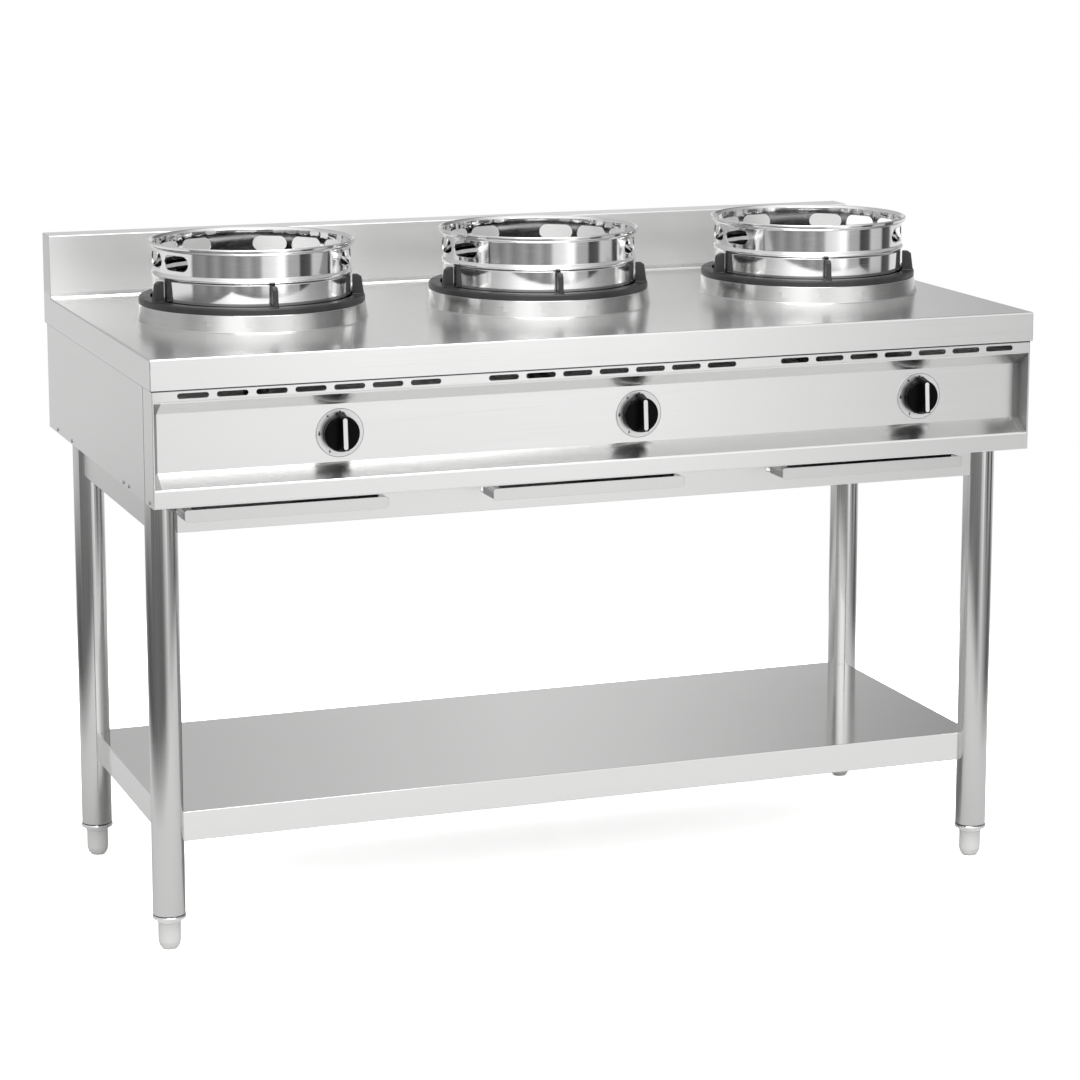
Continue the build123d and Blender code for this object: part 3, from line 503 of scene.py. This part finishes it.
def frontSheet(settings):
    low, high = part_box("fascia")
    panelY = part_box("control_panel")[0].y
    faceY, end, returnY, footY = low.y, high.x, low.y + settings["return"], low.y + settings["foot"]
    inner = end - settings["margin"]
    top, bottom = settings["recessTop"], settings["recessBottom"]
    deepTop, deepBottom = top - settings["slope"], bottom + settings["slope"]
    work = bmesh.new()
    known = {}

    def point(x, y, z):
        key = (round(x, 6), round(y, 6), round(z, 6))
        if key not in known:
            known[key] = work.verts.new(key)
        return known[key]

    def face(*corners):
        work.faces.new([point(*corner) for corner in corners])

    def loopEdges(points):
        verts = [point(x, faceY, z) for x, z in points]
        return [work.edges.new((a, b)) for a, b in zip(verts, verts[1:] + verts[:1])]

    edges = loopEdges([(-end, top), (-inner, top), (inner, top), (end, top), (end, high.z), (-end, high.z)])
    middleSlot = (settings["slotsPerGroup"] - 1) / 2
    for centre in burnerCentres.values():
        for k in range(settings["slotsPerGroup"]):
            x = centre.x + settings["slotShift"] + (k - middleSlot) * settings["slotPitch"]
            edges += loopEdges(slotOutline(x, worktopTop - settings["slotDrop"], settings))
    bmesh.ops.triangle_fill(work, use_beauty=True, edges=edges, normal=(0, -1, 0))
    face((-end, faceY, low.z), (end, faceY, low.z), (end, faceY, bottom), (inner, faceY, bottom),
         (-inner, faceY, bottom), (-end, faceY, bottom))
    face((-inner, faceY, top), (-inner, panelY, deepTop), (inner, panelY, deepTop), (inner, faceY, top))
    face((-inner, faceY, bottom), (inner, faceY, bottom), (inner, panelY, deepBottom), (-inner, panelY, deepBottom))
    face((-end, faceY, low.z), (-end, footY, low.z), (end, footY, low.z), (end, faceY, low.z))
    for side in (-1, 1):
        out, wall, flange = side * end, side * inner, side * (inner - settings["flange"])
        face((out, faceY, bottom), (wall, faceY, bottom), (wall, faceY, top), (out, faceY, top))
        face((wall, faceY, bottom), (wall, panelY, deepBottom), (wall, panelY, deepTop), (wall, faceY, top))
        face((wall, panelY, deepBottom), (flange, panelY, deepBottom), (flange, panelY, deepTop),
             (wall, panelY, deepTop))
        face((out, faceY, low.z), (out, faceY, bottom), (out, faceY, top), (out, faceY, high.z),
             (out, returnY, high.z), (out, returnY, low.z), (out, footY, low.z))
    bmesh.ops.recalc_face_normals(work, faces=work.faces)
    front = min(work.faces, key=lambda f: f.calc_center_median().y)
    if front.normal.y > 0:
        bmesh.ops.reverse_faces(work, faces=work.faces)
    weights = work.edges.layers.float.new("bevel_weight_edge")
    for edge in work.edges:
        middle = (edge.verts[0].co + edge.verts[1].co) / 2
        onFace = len(edge.link_faces) == 2 and abs(middle.y - faceY) <= settings["nearFace"]
        if onFace and edge.calc_face_angle(0) >= settings["bendFrom"]:
            edge[weights] = 1.0 if abs(middle.x) < inner - settings["nearEnd"] else settings["endBend"]
    mesh = bpy.data.meshes.new("frontSheet")
    work.to_mesh(mesh)
    work.free()
    smoothed(mesh, foldAngle)
    piece = addObject("frontSheet", mesh, looks["casing_steel"])
    bevel = piece.modifiers.new("bends", "BEVEL")
    bevel.limit_method = "WEIGHT"
    bevel.width = settings["bend"]
    bevel.segments = settings["segments"]
    bevel.use_clamp_overlap = False
    skin = piece.modifiers.new("sheet", "SOLIDIFY")
    skin.thickness = settings["sheet"]
    skin.offset = -1
    skin.use_even_offset = True
    settle(piece)
    smoothed(piece.data, foldAngle)
    evenNormals(piece)
    settle(piece)
    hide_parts("fascia")
    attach(piece, "range")


frontSheet(fasciaSettings)
print("front sheet ready")

# wok rings: pierced cells, then the plain parts of the band, the rim and the foot turned round them
ringSettings = {
    "outer": 0.152, "inner": 0.150, "beadHeight": 0.041, "beadSwell": 0.003, "beadHalf": 0.005, "rimRadius": 0.1579,
    "rimFlat": 0.1545, "rimHeight": 0.008, "rimFall": 0.004, "slotLength": 0.054, "slotHeight": 0.023,
    "slotDrop": 0.026, "slotStep": 24.0, "slotFirst": 60.8, "slotsPerSide": 5, "edge": 0.0004, "bandHalf": 0.015,
    "straightSteps": 3, "cornerSteps": 3, "bandSteps": 6, "frontSteps": 48, "rearSteps": 12, "roundSteps": 6,
    "beadFoot": 0.003, "beadRound": 0.0035, "footRound": 0.0005, "columnGap": 0.01, "merged": 1.5e-5, "foldAngle": 32,
    "turns": {"left": -3.0, "middle": -8.0, "right": -13.0},
}


def ringPoint(centre, radius, angle, z):
    a = math.radians(angle)
    return (centre.x + radius * math.sin(a), centre.y - radius * math.cos(a), z)


def wokRing(name, settings):
    low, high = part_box(f"wok_ring_{name}")
    centre = burnerCentres[name]
    turn = settings["turns"][name]
    outer, inner, edge = settings["outer"], settings["inner"], settings["edge"]
    slotZ = high.z - settings["slotDrop"]
    beadZ = low.z + settings["beadHeight"]
    swell, half = settings["beadSwell"], settings["beadHalf"]
    bandTop, bandBottom = slotZ + settings["bandHalf"], slotZ - settings["bandHalf"]
    endRadius = settings["slotHeight"] / 2
    straight = settings["slotLength"] / 2 - endRadius
    cellHalf = settings["slotStep"] / 2
    lipZ = high.z - settings["rimHeight"]

    # the cell's border and the slot's outline have the same number of points
    steps, cornerSteps, bandSteps = settings["straightSteps"], settings["cornerSteps"], settings["bandSteps"]
    arcSteps = 2 * cornerSteps + bandSteps
    straightXs = [straight * k / steps for k in range(-steps, steps + 1)]
    shoulder = math.degrees(math.asin(straight / outer))
    corners = [shoulder + (cellHalf - shoulder) * k / cornerSteps for k in range(1, cornerSteps + 1)]
    levels = [bandTop + (bandBottom - bandTop) * k / bandSteps for k in range(bandSteps + 1)]
    plan = [math.degrees(math.asin(x / outer)) for x in straightXs]

    border = [(a, bandTop) for a in plan] + [(a, bandTop) for a in corners]
    border += [(cellHalf, z) for z in levels[1:-1]]
    border += [(a, bandBottom) for a in reversed(corners)] + [(a, bandBottom) for a in reversed(plan)]
    border += [(-a, bandBottom) for a in corners]
    border += [(-cellHalf, z) for z in reversed(levels[1:-1])]
    border += [(-a, bandTop) for a in reversed(corners)]

    def outline(grow):
        radius = endRadius + grow
        points = []
        for side in (1, -1):
            points += [(side * x, side * radius) for x in straightXs]
            for k in range(1, arcSteps):
                t = math.radians(90 - 180 * k / arcSteps)
                points.append((side * (straight + radius * math.cos(t)), side * radius * math.sin(t)))
        return points

    work = bmesh.new()

    def strip(firstLoop, secondLoop):
        count = len(firstLoop)
        for k in range(count):
            work.faces.new((firstLoop[k], firstLoop[(k + 1) % count], secondLoop[(k + 1) % count], secondLoop[k]))

    centres = [side * (settings["slotFirst"] + settings["slotStep"] * i)
               for side in (-1, 1) for i in range(settings["slotsPerSide"])]
    columns = set()
    for slotAngle in centres:
        loops = [[work.verts.new(ringPoint(centre, outer, turn + slotAngle + a, z)) for a, z in border]]
        for radius, grow in ((outer, edge), (outer - edge, 0), (inner + edge, 0), (inner, edge)):
            loops.append([
                work.verts.new(ringPoint(
                    centre, radius, turn + slotAngle + math.degrees(math.asin(x / radius)), slotZ + z))
                for x, z in outline(grow)
            ])
        loops.append([work.verts.new(ringPoint(centre, inner, turn + slotAngle + a, z)) for a, z in border])
        for first, second in zip(loops, loops[1:]):
            strip(first, second)
        for a in plan + corners + [-c for c in corners]:
            columns.add(round(slotAngle + a, 4))
    gapEdge = settings["slotFirst"] - cellHalf
    for k in range(settings["frontSteps"] + 1):
        columns.add(round(-gapEdge + 2 * gapEdge * k / settings["frontSteps"], 4))
    rearStart = settings["slotFirst"] + settings["slotStep"] * (settings["slotsPerSide"] - 0.5)
    for k in range(settings["rearSteps"] + 1):
        columns.add(round(rearStart + (360 - 2 * rearStart) * k / settings["rearSteps"], 4))
    angles = []
    for a in sorted((a % 360) for a in columns):
        if not angles or a - angles[-1] > settings["columnGap"]:
            angles.append(a)

    def revolve(path, wanted=lambda a, b: True):
        grid = [[work.verts.new(ringPoint(centre, p[0], turn + a, p[1])) for p in path] for a in angles]
        for i in range(len(angles)):
            a, b = angles[i], angles[(i + 1) % len(angles)]
            if not wanted(a, b):
                continue
            nextColumn = grid[(i + 1) % len(angles)]
            for k in range(len(path) - 1):
                work.faces.new((grid[i][k], nextColumn[k], nextColumn[k + 1], grid[i][k + 1]))

    upper = roundedPath([
        (outer, bandTop, 0), (outer, lipZ, 0.0025), (settings["rimRadius"], lipZ, 0.0034),
        (settings["rimRadius"], high.z, 0.0032), (settings["rimFlat"], high.z, 0.004),
        (inner, high.z - settings["rimFall"], 0.0012), (inner, bandTop, 0),
    ], settings["roundSteps"])
    beadFoot, beadRound, footRound = settings["beadFoot"], settings["beadRound"], settings["footRound"]
    lower = roundedPath([
        (outer, bandBottom, 0), (outer, beadZ + half, beadFoot), (outer + swell, beadZ, beadRound),
        (outer, beadZ - half, beadFoot), (outer, low.z, footRound), (inner, low.z, footRound),
        (inner, beadZ - half, beadFoot), (inner + swell, beadZ, beadRound), (inner, beadZ + half, beadFoot),
        (inner, bandBottom, 0),
    ], settings["roundSteps"])
    revolve(upper)
    revolve(lower)

    def isPlain(a, b):
        middle = ((a + b) / 2 if b > a else (a + b + 360) / 2) % 360
        middle = min(middle, 360 - middle)
        return middle < gapEdge or middle > rearStart

    revolve([(outer, z) for z in levels], isPlain)
    revolve([(inner, z) for z in reversed(levels)], isPlain)
    bmesh.ops.remove_doubles(work, verts=work.verts, dist=settings["merged"])
    loose = [v for v in work.verts if not v.link_faces]
    bmesh.ops.delete(work, geom=loose, context="VERTS")
    bmesh.ops.recalc_face_normals(work, faces=work.faces)
    openEdges = sum(1 for e in work.edges if len(e.link_faces) != 2)
    mesh = bpy.data.meshes.new(f"wokRing{name}")
    work.to_mesh(mesh)
    work.free()
    smoothed(mesh, settings["foldAngle"])
    print(f"wok ring {name}: {len(mesh.polygons)} faces, {openEdges} open edges")
    piece = addObject(f"wokRing{name.capitalize()}", mesh, looks["ring_chrome"])
    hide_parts(f"wok_ring_{name}")
    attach(piece, f"wok_ring_{name}")


for name in burnerNames:
    wokRing(name, ringSettings)
print("wok rings ready")


# turned details: beads, caps, screw heads and ports
turnedSettings = {"merged": 1e-6, "foldAngle": 35}


def turnInto(work, path, centre, segments):
    columns = []
    for k in range(segments):
        a = 2 * math.pi * k / segments
        columns.append([
            work.verts.new((centre.x + r * math.cos(a), centre.y + r * math.sin(a), centre.z + z)) for r, z in path
        ])
    for k in range(segments):
        here, after = columns[k], columns[(k + 1) % segments]
        for i in range(len(path) - 1):
            work.faces.new((here[i], after[i], after[i + 1], here[i + 1]))


def turned(name, path, centres, segments, material):
    work = bmesh.new()
    for centre in centres:
        turnInto(work, path, centre, segments)
    bmesh.ops.remove_doubles(work, verts=work.verts, dist=turnedSettings["merged"])
    bmesh.ops.recalc_face_normals(work, faces=work.faces)
    mesh = bpy.data.meshes.new(name)
    work.to_mesh(mesh)
    work.free()
    smoothed(mesh, turnedSettings["foldAngle"])
    return addObject(name, mesh, material)


# a bead where each collar meets the worktop
beadSettings = {"radius": 0.177, "size": 0.0016, "sunk": 0.0008, "steps": 5, "segments": 160}
foot, size, sunk = beadSettings["radius"], beadSettings["size"], beadSettings["sunk"]
beadPath = [(foot - sunk, size), (foot - sunk, -sunk), (foot + size, -sunk)]
for k in range(beadSettings["steps"] + 1):
    t = math.radians(90 * k / beadSettings["steps"])
    beadPath.append((foot + size - size * math.sin(t), size - size * math.cos(t)))
beadPath.append(beadPath[0])
for name in burnerNames:
    centre = Vector((burnerCentres[name].x, burnerCentres[name].y, worktopTop))
    pieceName = f"collarBead{name.capitalize()}"
    bead = turned(pieceName, beadPath, [centre], beadSettings["segments"], looks["collar_steel"])
    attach(bead, "range")


# chrome caps under the legs: a swelling ring, a waist and the sleeve inside the tube
capSettings = {
    "swell": 0.0010, "waist": 0.0185, "bore": 0.0062, "sleeve": 0.0225, "flare": 0.0006, "waistTop": 0.72,
    "swellFrom": 0.52, "swellTo": 0.14, "play": 0.0004, "roundSteps": 5, "segments": 72,
}
capCentres = []
for corner in legNames:
    low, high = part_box(f"leg_{corner}")
    capCentres.append(Vector(((low.x + high.x) / 2, (low.y + high.y) / 2, low.z)))
legRadius = (high.x - low.x) / 2
capLow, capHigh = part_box("leg_sockets")
capBottom, sleeveTop, swollen = capLow.z - low.z, capHigh.z - low.z, legRadius + capSettings["swell"]
bore, waist, sleeve = capSettings["bore"], capSettings["waist"], capSettings["sleeve"]
capPath = roundedPath([
    (bore, capBottom, 0), (waist, capBottom, 0.0006),
    (waist + capSettings["flare"], capBottom * capSettings["waistTop"], 0.0012),
    (swollen, capBottom * capSettings["swellFrom"], 0.0030), (swollen, capBottom * capSettings["swellTo"], 0.0016),
    (legRadius - capSettings["play"], 0.0, 0.0004), (sleeve, 0.0, 0.0002), (sleeve, sleeveTop, 0.0005),
    (bore, sleeveTop, 0), (bore, capBottom, 0),
], capSettings["roundSteps"])
caps = turned("legCaps", capPath, capCentres, capSettings["segments"], looks["socket_chrome"])
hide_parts("leg_sockets")
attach(caps, "range")


# copies of a piece on points, as a Geometry Nodes group
def repeatTree():
    tree = bpy.data.node_groups.new("copiesOnPoints", "GeometryNodeTree")
    face = tree.interface
    face.new_socket("Points", in_out="INPUT", socket_type="NodeSocketGeometry")
    face.new_socket("Piece", in_out="INPUT", socket_type="NodeSocketObject")
    face.new_socket("Turn", in_out="INPUT", socket_type="NodeSocketVector")
    face.new_socket("Finish", in_out="INPUT", socket_type="NodeSocketMaterial")
    face.new_socket("Copies", in_out="OUTPUT", socket_type="NodeSocketGeometry")
    entry = makeNode(tree, "NodeGroupInput")
    source = makeNode(tree, "GeometryNodeObjectInfo", {"Object": entry.outputs["Piece"]})
    turn = makeNode(tree, "FunctionNodeEulerToRotation", {0: entry.outputs["Turn"]})
    copies = makeNode(tree, "GeometryNodeInstanceOnPoints", {
        "Points": entry.outputs["Points"], "Instance": source.outputs["Geometry"], "Rotation": turn.outputs[0]})
    solid = makeNode(tree, "GeometryNodeRealizeInstances", {0: copies.outputs[0]})
    finish = makeNode(tree, "GeometryNodeSetMaterial", {
        "Geometry": solid.outputs[0], "Material": entry.outputs["Finish"]})
    leave = makeNode(tree, "NodeGroupOutput")
    tree.links.new(finish.outputs[0], leave.inputs["Copies"])
    return tree


copiesOnPoints = repeatTree()
copySockets = {item.name: item.identifier for item in copiesOnPoints.interface.items_tree if item.in_out == "INPUT"}


def copiesAt(name, places, turn, piece, material, body):
    mesh = bpy.data.meshes.new(name)
    mesh.from_pydata(places, [], [])
    row = addObject(name, mesh, material)
    repeat = row.modifiers.new("copies", "NODES")
    repeat.node_group = copiesOnPoints
    repeat[copySockets["Piece"]] = piece
    repeat[copySockets["Turn"]] = turn
    repeat[copySockets["Finish"]] = material
    settle(row)
    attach(row, body)


# pan heads with a round socket; their axis is +Z before they are turned
screwSettings = {
    "radius": 0.0027, "height": 0.0012, "socket": 0.0011, "socketDepth": 0.0008, "sunk": 0.0004, "sideZ": 0.6895,
    "sideYs": (-0.338, -0.207, -0.172, 0.189, 0.296), "rearPitch": 0.23, "rearRow": 7, "rearEdge": 0.007,
    "roundSteps": 4, "segments": 20,
}
radius, height, socket = screwSettings["radius"], screwSettings["height"], screwSettings["socket"]
socketFloor, headFoot = height - screwSettings["socketDepth"], -screwSettings["sunk"]
headPath = roundedPath([
    (0.0, socketFloor, 0), (socket, socketFloor, 0), (socket, height, 0.0002), (radius, height, 0.0011),
    (radius, headFoot, 0), (0.0, headFoot, 0),
], screwSettings["roundSteps"])
screwHead = turned("screwHead", headPath, [Vector((0, 0, 0))], screwSettings["segments"], screwSteel)
quarter = math.radians(90)
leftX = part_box("side_panel_left")[0].x
for pieceName, side in (("screwsSideLeft", 1), ("screwsSideRight", -1)):
    places = [(side * leftX, y, screwSettings["sideZ"]) for y in screwSettings["sideYs"]]
    copiesAt(pieceName, places, (0, -side * quarter, 0), screwHead, screwSteel, "range")
rearLow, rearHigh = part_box("rear_panel")
rearPlaces = []
for i in range(screwSettings["rearRow"]):
    x = (i - (screwSettings["rearRow"] - 1) / 2) * screwSettings["rearPitch"]
    rearPlaces.append((x, rearHigh.y, rearLow.z + screwSettings["rearEdge"]))
    rearPlaces.append((x, rearHigh.y, apronBottom - screwSettings["rearEdge"]))
copiesAt("screwsRear", rearPlaces, (-quarter, 0, 0), screwHead, screwSteel, "range")
bpy.data.objects.remove(screwHead)

# flame ports on the sloping crown of each burner head, drawn as black discs: painted shade where the holes are
portSettings = {
    "count": 28, "circle": 0.0595, "below": 0.006, "radius": 0.0016, "proud": 0.0003, "sunk": 0.0005, "segments": 12,
}
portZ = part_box("burner_head_left")[1].z - portSettings["below"]
radius, foot, head = portSettings["radius"], -portSettings["sunk"], portSettings["proud"]
portPath = [(0.0, foot), (radius, foot), (radius, head), (0.0, head)]
port = turned("port", portPath, [Vector((0, 0, 0))], portSettings["segments"], inkAndPaintedShade)
for name in burnerNames:
    centre, circle = burnerCentres[name], portSettings["circle"]
    places = []
    for i in range(portSettings["count"]):
        a = 2 * math.pi * i / portSettings["count"]
        places.append((centre.x + circle * math.cos(a), centre.y + circle * math.sin(a), portZ))
    copiesAt(f"ports{name.capitalize()}", places, (0, 0, 0), port, inkAndPaintedShade, "range")
bpy.data.objects.remove(port)
print("beads, screws and portShades ready")


# signs printed on the dial plates, and a thin dark ring round each dial that is painted shade at the plate's edge
def flatMark(work, outline, frontY, depth):
    front = [work.verts.new((x, frontY, z)) for x, z in outline]
    back = [work.verts.new((x, frontY + depth, z)) for x, z in outline]
    work.faces.new(front)
    work.faces.new(back[::-1])
    for k in range(len(outline)):
        after = (k + 1) % len(outline)
        work.faces.new((front[k], back[k], back[after], front[after]))


def circleOutline(x, z, radius, steps=20):
    return [(x + radius * math.cos(2 * math.pi * k / steps), z + radius * math.sin(2 * math.pi * k / steps))
            for k in range(steps)]


flame = {"steps": 24, "width": 0.55, "taper": 0.45, "tall": 1.5}
star = {"rays": 6, "waist": 0.38}


def flameOutline(x, z, size):
    points = []
    for k in range(flame["steps"]):
        t = 2 * math.pi * k / flame["steps"]
        lift = math.sin(t)
        across = size * flame["width"] * math.cos(t) * (1 - flame["taper"] * lift)
        points.append((x + across, z + size * (lift if lift < 0 else flame["tall"] * lift)))
    return points


def starOutline(x, z, size):
    points = []
    for k in range(2 * star["rays"]):
        t = math.radians(180 * k / star["rays"])
        reach = size if k % 2 == 0 else size * star["waist"]
        points.append((x + reach * math.cos(t), z + reach * math.sin(t)))
    return points


dialSettings = {
    "edgeShadeOut": 0.0359, "edgeShadeIn": 0.0353, "edgeShadeSteps": 96, "circle": 0.0312, "proud": 0.00006, "depth": 0.0002,
    "merged": 1e-7,
}
# outline, degrees from the top, size
dialSigns = [
    (circleOutline, 0, 0.0016), (starOutline, 36, 0.0030), (flameOutline, 90, 0.0029), (flameOutline, 150, 0.0020),
]
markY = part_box("dial_plates")[0].y - dialSettings["proud"]
depth, steps = dialSettings["depth"], dialSettings["edgeShadeSteps"]
work = bmesh.new()
for name in burnerNames:
    centre = knobCentres[name]
    for outline, turn, size in dialSigns:
        a = math.radians(turn)
        x, z = centre.x - dialSettings["circle"] * math.sin(a), centre.z + dialSettings["circle"] * math.cos(a)
        flatMark(work, outline(x, z, size), markY, depth)
    # painted shade: a thin dark ring standing in for the shadow at the plate's edge
    outer = circleOutline(centre.x, centre.z, dialSettings["edgeShadeOut"], steps)
    inner = circleOutline(centre.x, centre.z, dialSettings["edgeShadeIn"], steps)
    for k in range(steps):
        after = (k + 1) % steps
        flatMark(work, [outer[k], outer[after], inner[after], inner[k]], markY, depth)
bmesh.ops.remove_doubles(work, verts=work.verts, dist=dialSettings["merged"])
bmesh.ops.recalc_face_normals(work, faces=work.faces)
markMesh = bpy.data.meshes.new("dialMarks")
work.to_mesh(markMesh)
work.free()
dialMarks = addObject("dialMarks", markMesh, inkAndPaintedShade)
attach(dialMarks, "range")
print("dial marks ready")


# camera, fitted to the photo
cameraSettings = {
    "lens": 108.24, "sensor": 36.0, "shiftY": -0.10, "farEnd": 100, "place": (-1.7338, -4.7863, 1.6064),
    "down": 10.176, "turn": -0.3509,
}
cameraData = bpy.data.cameras.new("camera")
cameraData.lens = cameraSettings["lens"]
cameraData.sensor_width = cameraSettings["sensor"]
cameraData.sensor_fit = "HORIZONTAL"
cameraData.shift_x = 0.0
cameraData.shift_y = cameraSettings["shiftY"]
cameraData.clip_end = cameraSettings["farEnd"]
camera = bpy.data.objects.new("camera", cameraData)
bpy.context.scene.collection.objects.link(camera)
camera.location = cameraSettings["place"]
camera.rotation_euler = (math.radians(90 - cameraSettings["down"]), 0, cameraSettings["turn"])
bpy.context.scene.camera = camera

# world: what the bright metal mirrors, as (azimuth from the camera, brightness), band above band
world = bpy.data.worlds.new("studio")
bpy.context.scene.world = world
world.use_nodes = True
worldTree = world.node_tree
worldTree.nodes.clear()
towardCamera = (-0.338, -0.924)
cameraAzimuth = math.degrees(math.atan2(towardCamera[1], towardCamera[0]))
legBand = [
    (-178, 0.62), (-150, 0.42), (-134, 0.24), (-106, 0.11), (-89, 0.11), (-60, 0.18), (-41, 0.21), (-23, 0.18),
    (-8, 0.15), (5, 0.17), (14, 0.27), (23, 0.48), (33, 0.68), (38, 0.78), (43, 0.80), (49, 0.70), (60, 0.58),
    (74, 0.40), (89, 0.20), (106, 0.13), (128, 0.26), (150, 0.65), (172, 0.95),
]
ringBand = [
    (-180, 0.85), (-150, 0.72), (-134, 0.70), (-120, 0.84), (-69, 0.82), (-66, 0.22), (-52, 0.30), (-45, 0.20),
    (-36, 0.34), (-28, 0.22), (-16, 0.36), (-9, 0.24), (2, 0.42), (8, 0.28), (15, 0.36), (18, 0.80), (30, 0.95),
    (36, 1.15), (40, 1.65), (44, 1.00), (48, 0.46), (61, 0.42), (63, 0.05), (76, 0.10), (80, 0.62), (97, 0.55),
    (100, 0.06), (114, 0.12), (119, 0.80), (150, 0.85),
]
midBand = [
    (-170, 0.58), (-160, 0.56), (-130, 0.42), (-112, 0.58), (-72, 0.60), (-60, 0.48), (-47, 0.58), (-35, 0.85),
    (-29, 1.10), (-20, 1.50), (-8, 1.60), (0, 1.45), (8, 1.15), (17, 1.10), (29, 1.25), (38, 1.30), (47, 1.15),
    (60, 0.78), (74, 0.32), (97, 0.22), (122, 0.20), (140, 0.42), (155, 0.55), (168, 0.46), (171, 0.54), (174, 0.70),
    (178, 0.80), (-175, 0.70),
]
highBand = [
    (-172, 0.50), (-130, 0.6), (-90, 0.7), (-50, 0.8), (-30, 1.2), (0, 1.6), (35, 1.4), (60, 0.8), (90, 0.5),
    (130, 0.5), (160, 0.18), (169, 0.20), (173, 0.34), (177, 0.58), (180, 0.70),
]
# each band's lower seam, as the upward part of the direction
seamHeights = {"ring": (-0.215, -0.19), "middle": (-0.09, -0.01), "high": (0.20, 0.26), "overhead": (0.75, 0.95)}
overheadColour = (1.1, 1.1, 1.1, 1)


def bandRamp(factor, band):
    ramp = makeNode(worldTree, "ShaderNodeValToRGB", {0: factor})
    stops = sorted((((cameraAzimuth + turn + 180) % 360) / 360, value) for turn, value in band)
    (lastAt, lastValue), (firstAt, firstValue) = stops[-1], stops[0]
    span = firstAt + 1 - lastAt
    seam = lastValue + (firstValue - lastValue) * (1 - lastAt) / span
    elements = ramp.color_ramp.elements
    elements[0].position, elements[0].color = 0.0, (seam, seam, seam, 1)
    elements[1].position, elements[1].color = 1.0, (seam, seam, seam, 1)
    for at, value in stops:
        elements.new(at).color = (value, value, value, 1)
    return ramp.outputs[0]


direction = makeNode(worldTree, "ShaderNodeTexCoord").outputs["Generated"]
parts = makeNode(worldTree, "ShaderNodeSeparateXYZ", {0: direction})
azimuth = calc(worldTree, "ARCTAN2", parts.outputs[1], parts.outputs[0])
turnFactor = remap(worldTree, azimuth, -math.pi, math.pi, 0.0, 1.0)


def addedBand(name, below, band):
    seam = remap(worldTree, parts.outputs[2], *seamHeights[name], 0.0, 1.0)
    inputs = {0: seam, 6: below, 7: band}
    return makeNode(worldTree, "ShaderNodeMix", inputs, data_type="RGBA").outputs[2]


seen = bandRamp(turnFactor, legBand)
for name, band in (("ring", ringBand), ("middle", midBand), ("high", highBand)):
    seen = addedBand(name, seen, bandRamp(turnFactor, band))
seen = addedBand("overhead", seen, overheadColour)
mirrored = makeNode(worldTree, "ShaderNodeBackground", {"Color": seen, "Strength": 1.0})
plain = makeNode(worldTree, "ShaderNodeBackground", {"Color": (1, 1, 1, 1), "Strength": 1.0})
lightPath = makeNode(worldTree, "ShaderNodeLightPath")
choice = makeNode(worldTree, "ShaderNodeMixShader", {0: lightPath.outputs["Is Camera Ray"]})
worldTree.links.new(mirrored.outputs[0], choice.inputs[1])
worldTree.links.new(plain.outputs[0], choice.inputs[2])
worldOutput = makeNode(worldTree, "ShaderNodeOutputWorld")
worldTree.links.new(choice.outputs[0], worldOutput.inputs["Surface"])

# a white floor that fades out, brighter to the camera than to the metal
floorSettings = {"radius": 2.4, "step": 3, "fadeStart": 1.35, "fadeEnd": 1.9, "white": 0.74, "seen": 3.0}
floorMesh = bpy.data.meshes.new("floor")
rim = [(floorSettings["radius"] * math.cos(math.radians(a)), floorSettings["radius"] * math.sin(math.radians(a)), 0)
       for a in range(0, 360, floorSettings["step"])]
floorMesh.from_pydata(rim, [], [tuple(range(len(rim)))])
floorMaterial, floorTree, floorShader = newMaterial("floorWhite")
floorPath = makeNode(floorTree, "ShaderNodeLightPath")
shade = blendValue(floorTree, floorPath.outputs["Is Camera Ray"], floorSettings["white"], floorSettings["seen"])
grey = makeNode(floorTree, "ShaderNodeCombineColor", {0: shade, 1: shade, 2: shade})
diffuse = makeNode(floorTree, "ShaderNodeBsdfDiffuse", {"Color": grey.outputs[0]})
clear = makeNode(floorTree, "ShaderNodeBsdfTransparent")
away = makeNode(floorTree, "ShaderNodeVectorMath", {0: objectCoords(floorTree)}, operation="LENGTH")
fade = remap(floorTree, away.outputs["Value"], floorSettings["fadeStart"], floorSettings["fadeEnd"], 0.0, 1.0)
floorMix = makeNode(floorTree, "ShaderNodeMixShader", {0: fade})
floorTree.links.new(diffuse.outputs[0], floorMix.inputs[1])
floorTree.links.new(clear.outputs[0], floorMix.inputs[2])
floorOutput = next(node for node in floorTree.nodes if node.type == "OUTPUT_MATERIAL")
floorTree.links.new(floorMix.outputs[0], floorOutput.inputs["Surface"])
floorTree.nodes.remove(floorShader)
floor = addObject("floor", floorMesh, floorMaterial)


# one soft box above the front
softboxSettings = {"place": (-0.3, -1.6, 3.4), "target": (0, 0, 0.8), "size": (2.4, 1.6), "power": 60}
lightData = bpy.data.lights.new("topSoftbox", "AREA")
lightData.shape = "RECTANGLE"
lightData.size, lightData.size_y = softboxSettings["size"]
lightData.energy = softboxSettings["power"]
light = bpy.data.objects.new("topSoftbox", lightData)
bpy.context.scene.collection.objects.link(light)
light.location = softboxSettings["place"]
aim = Vector(softboxSettings["target"]) - Vector(softboxSettings["place"])
light.rotation_euler = aim.to_track_quat("-Z", "Y").to_euler()

bpy.context.scene.view_settings.view_transform = "Standard"
print("scene ready")
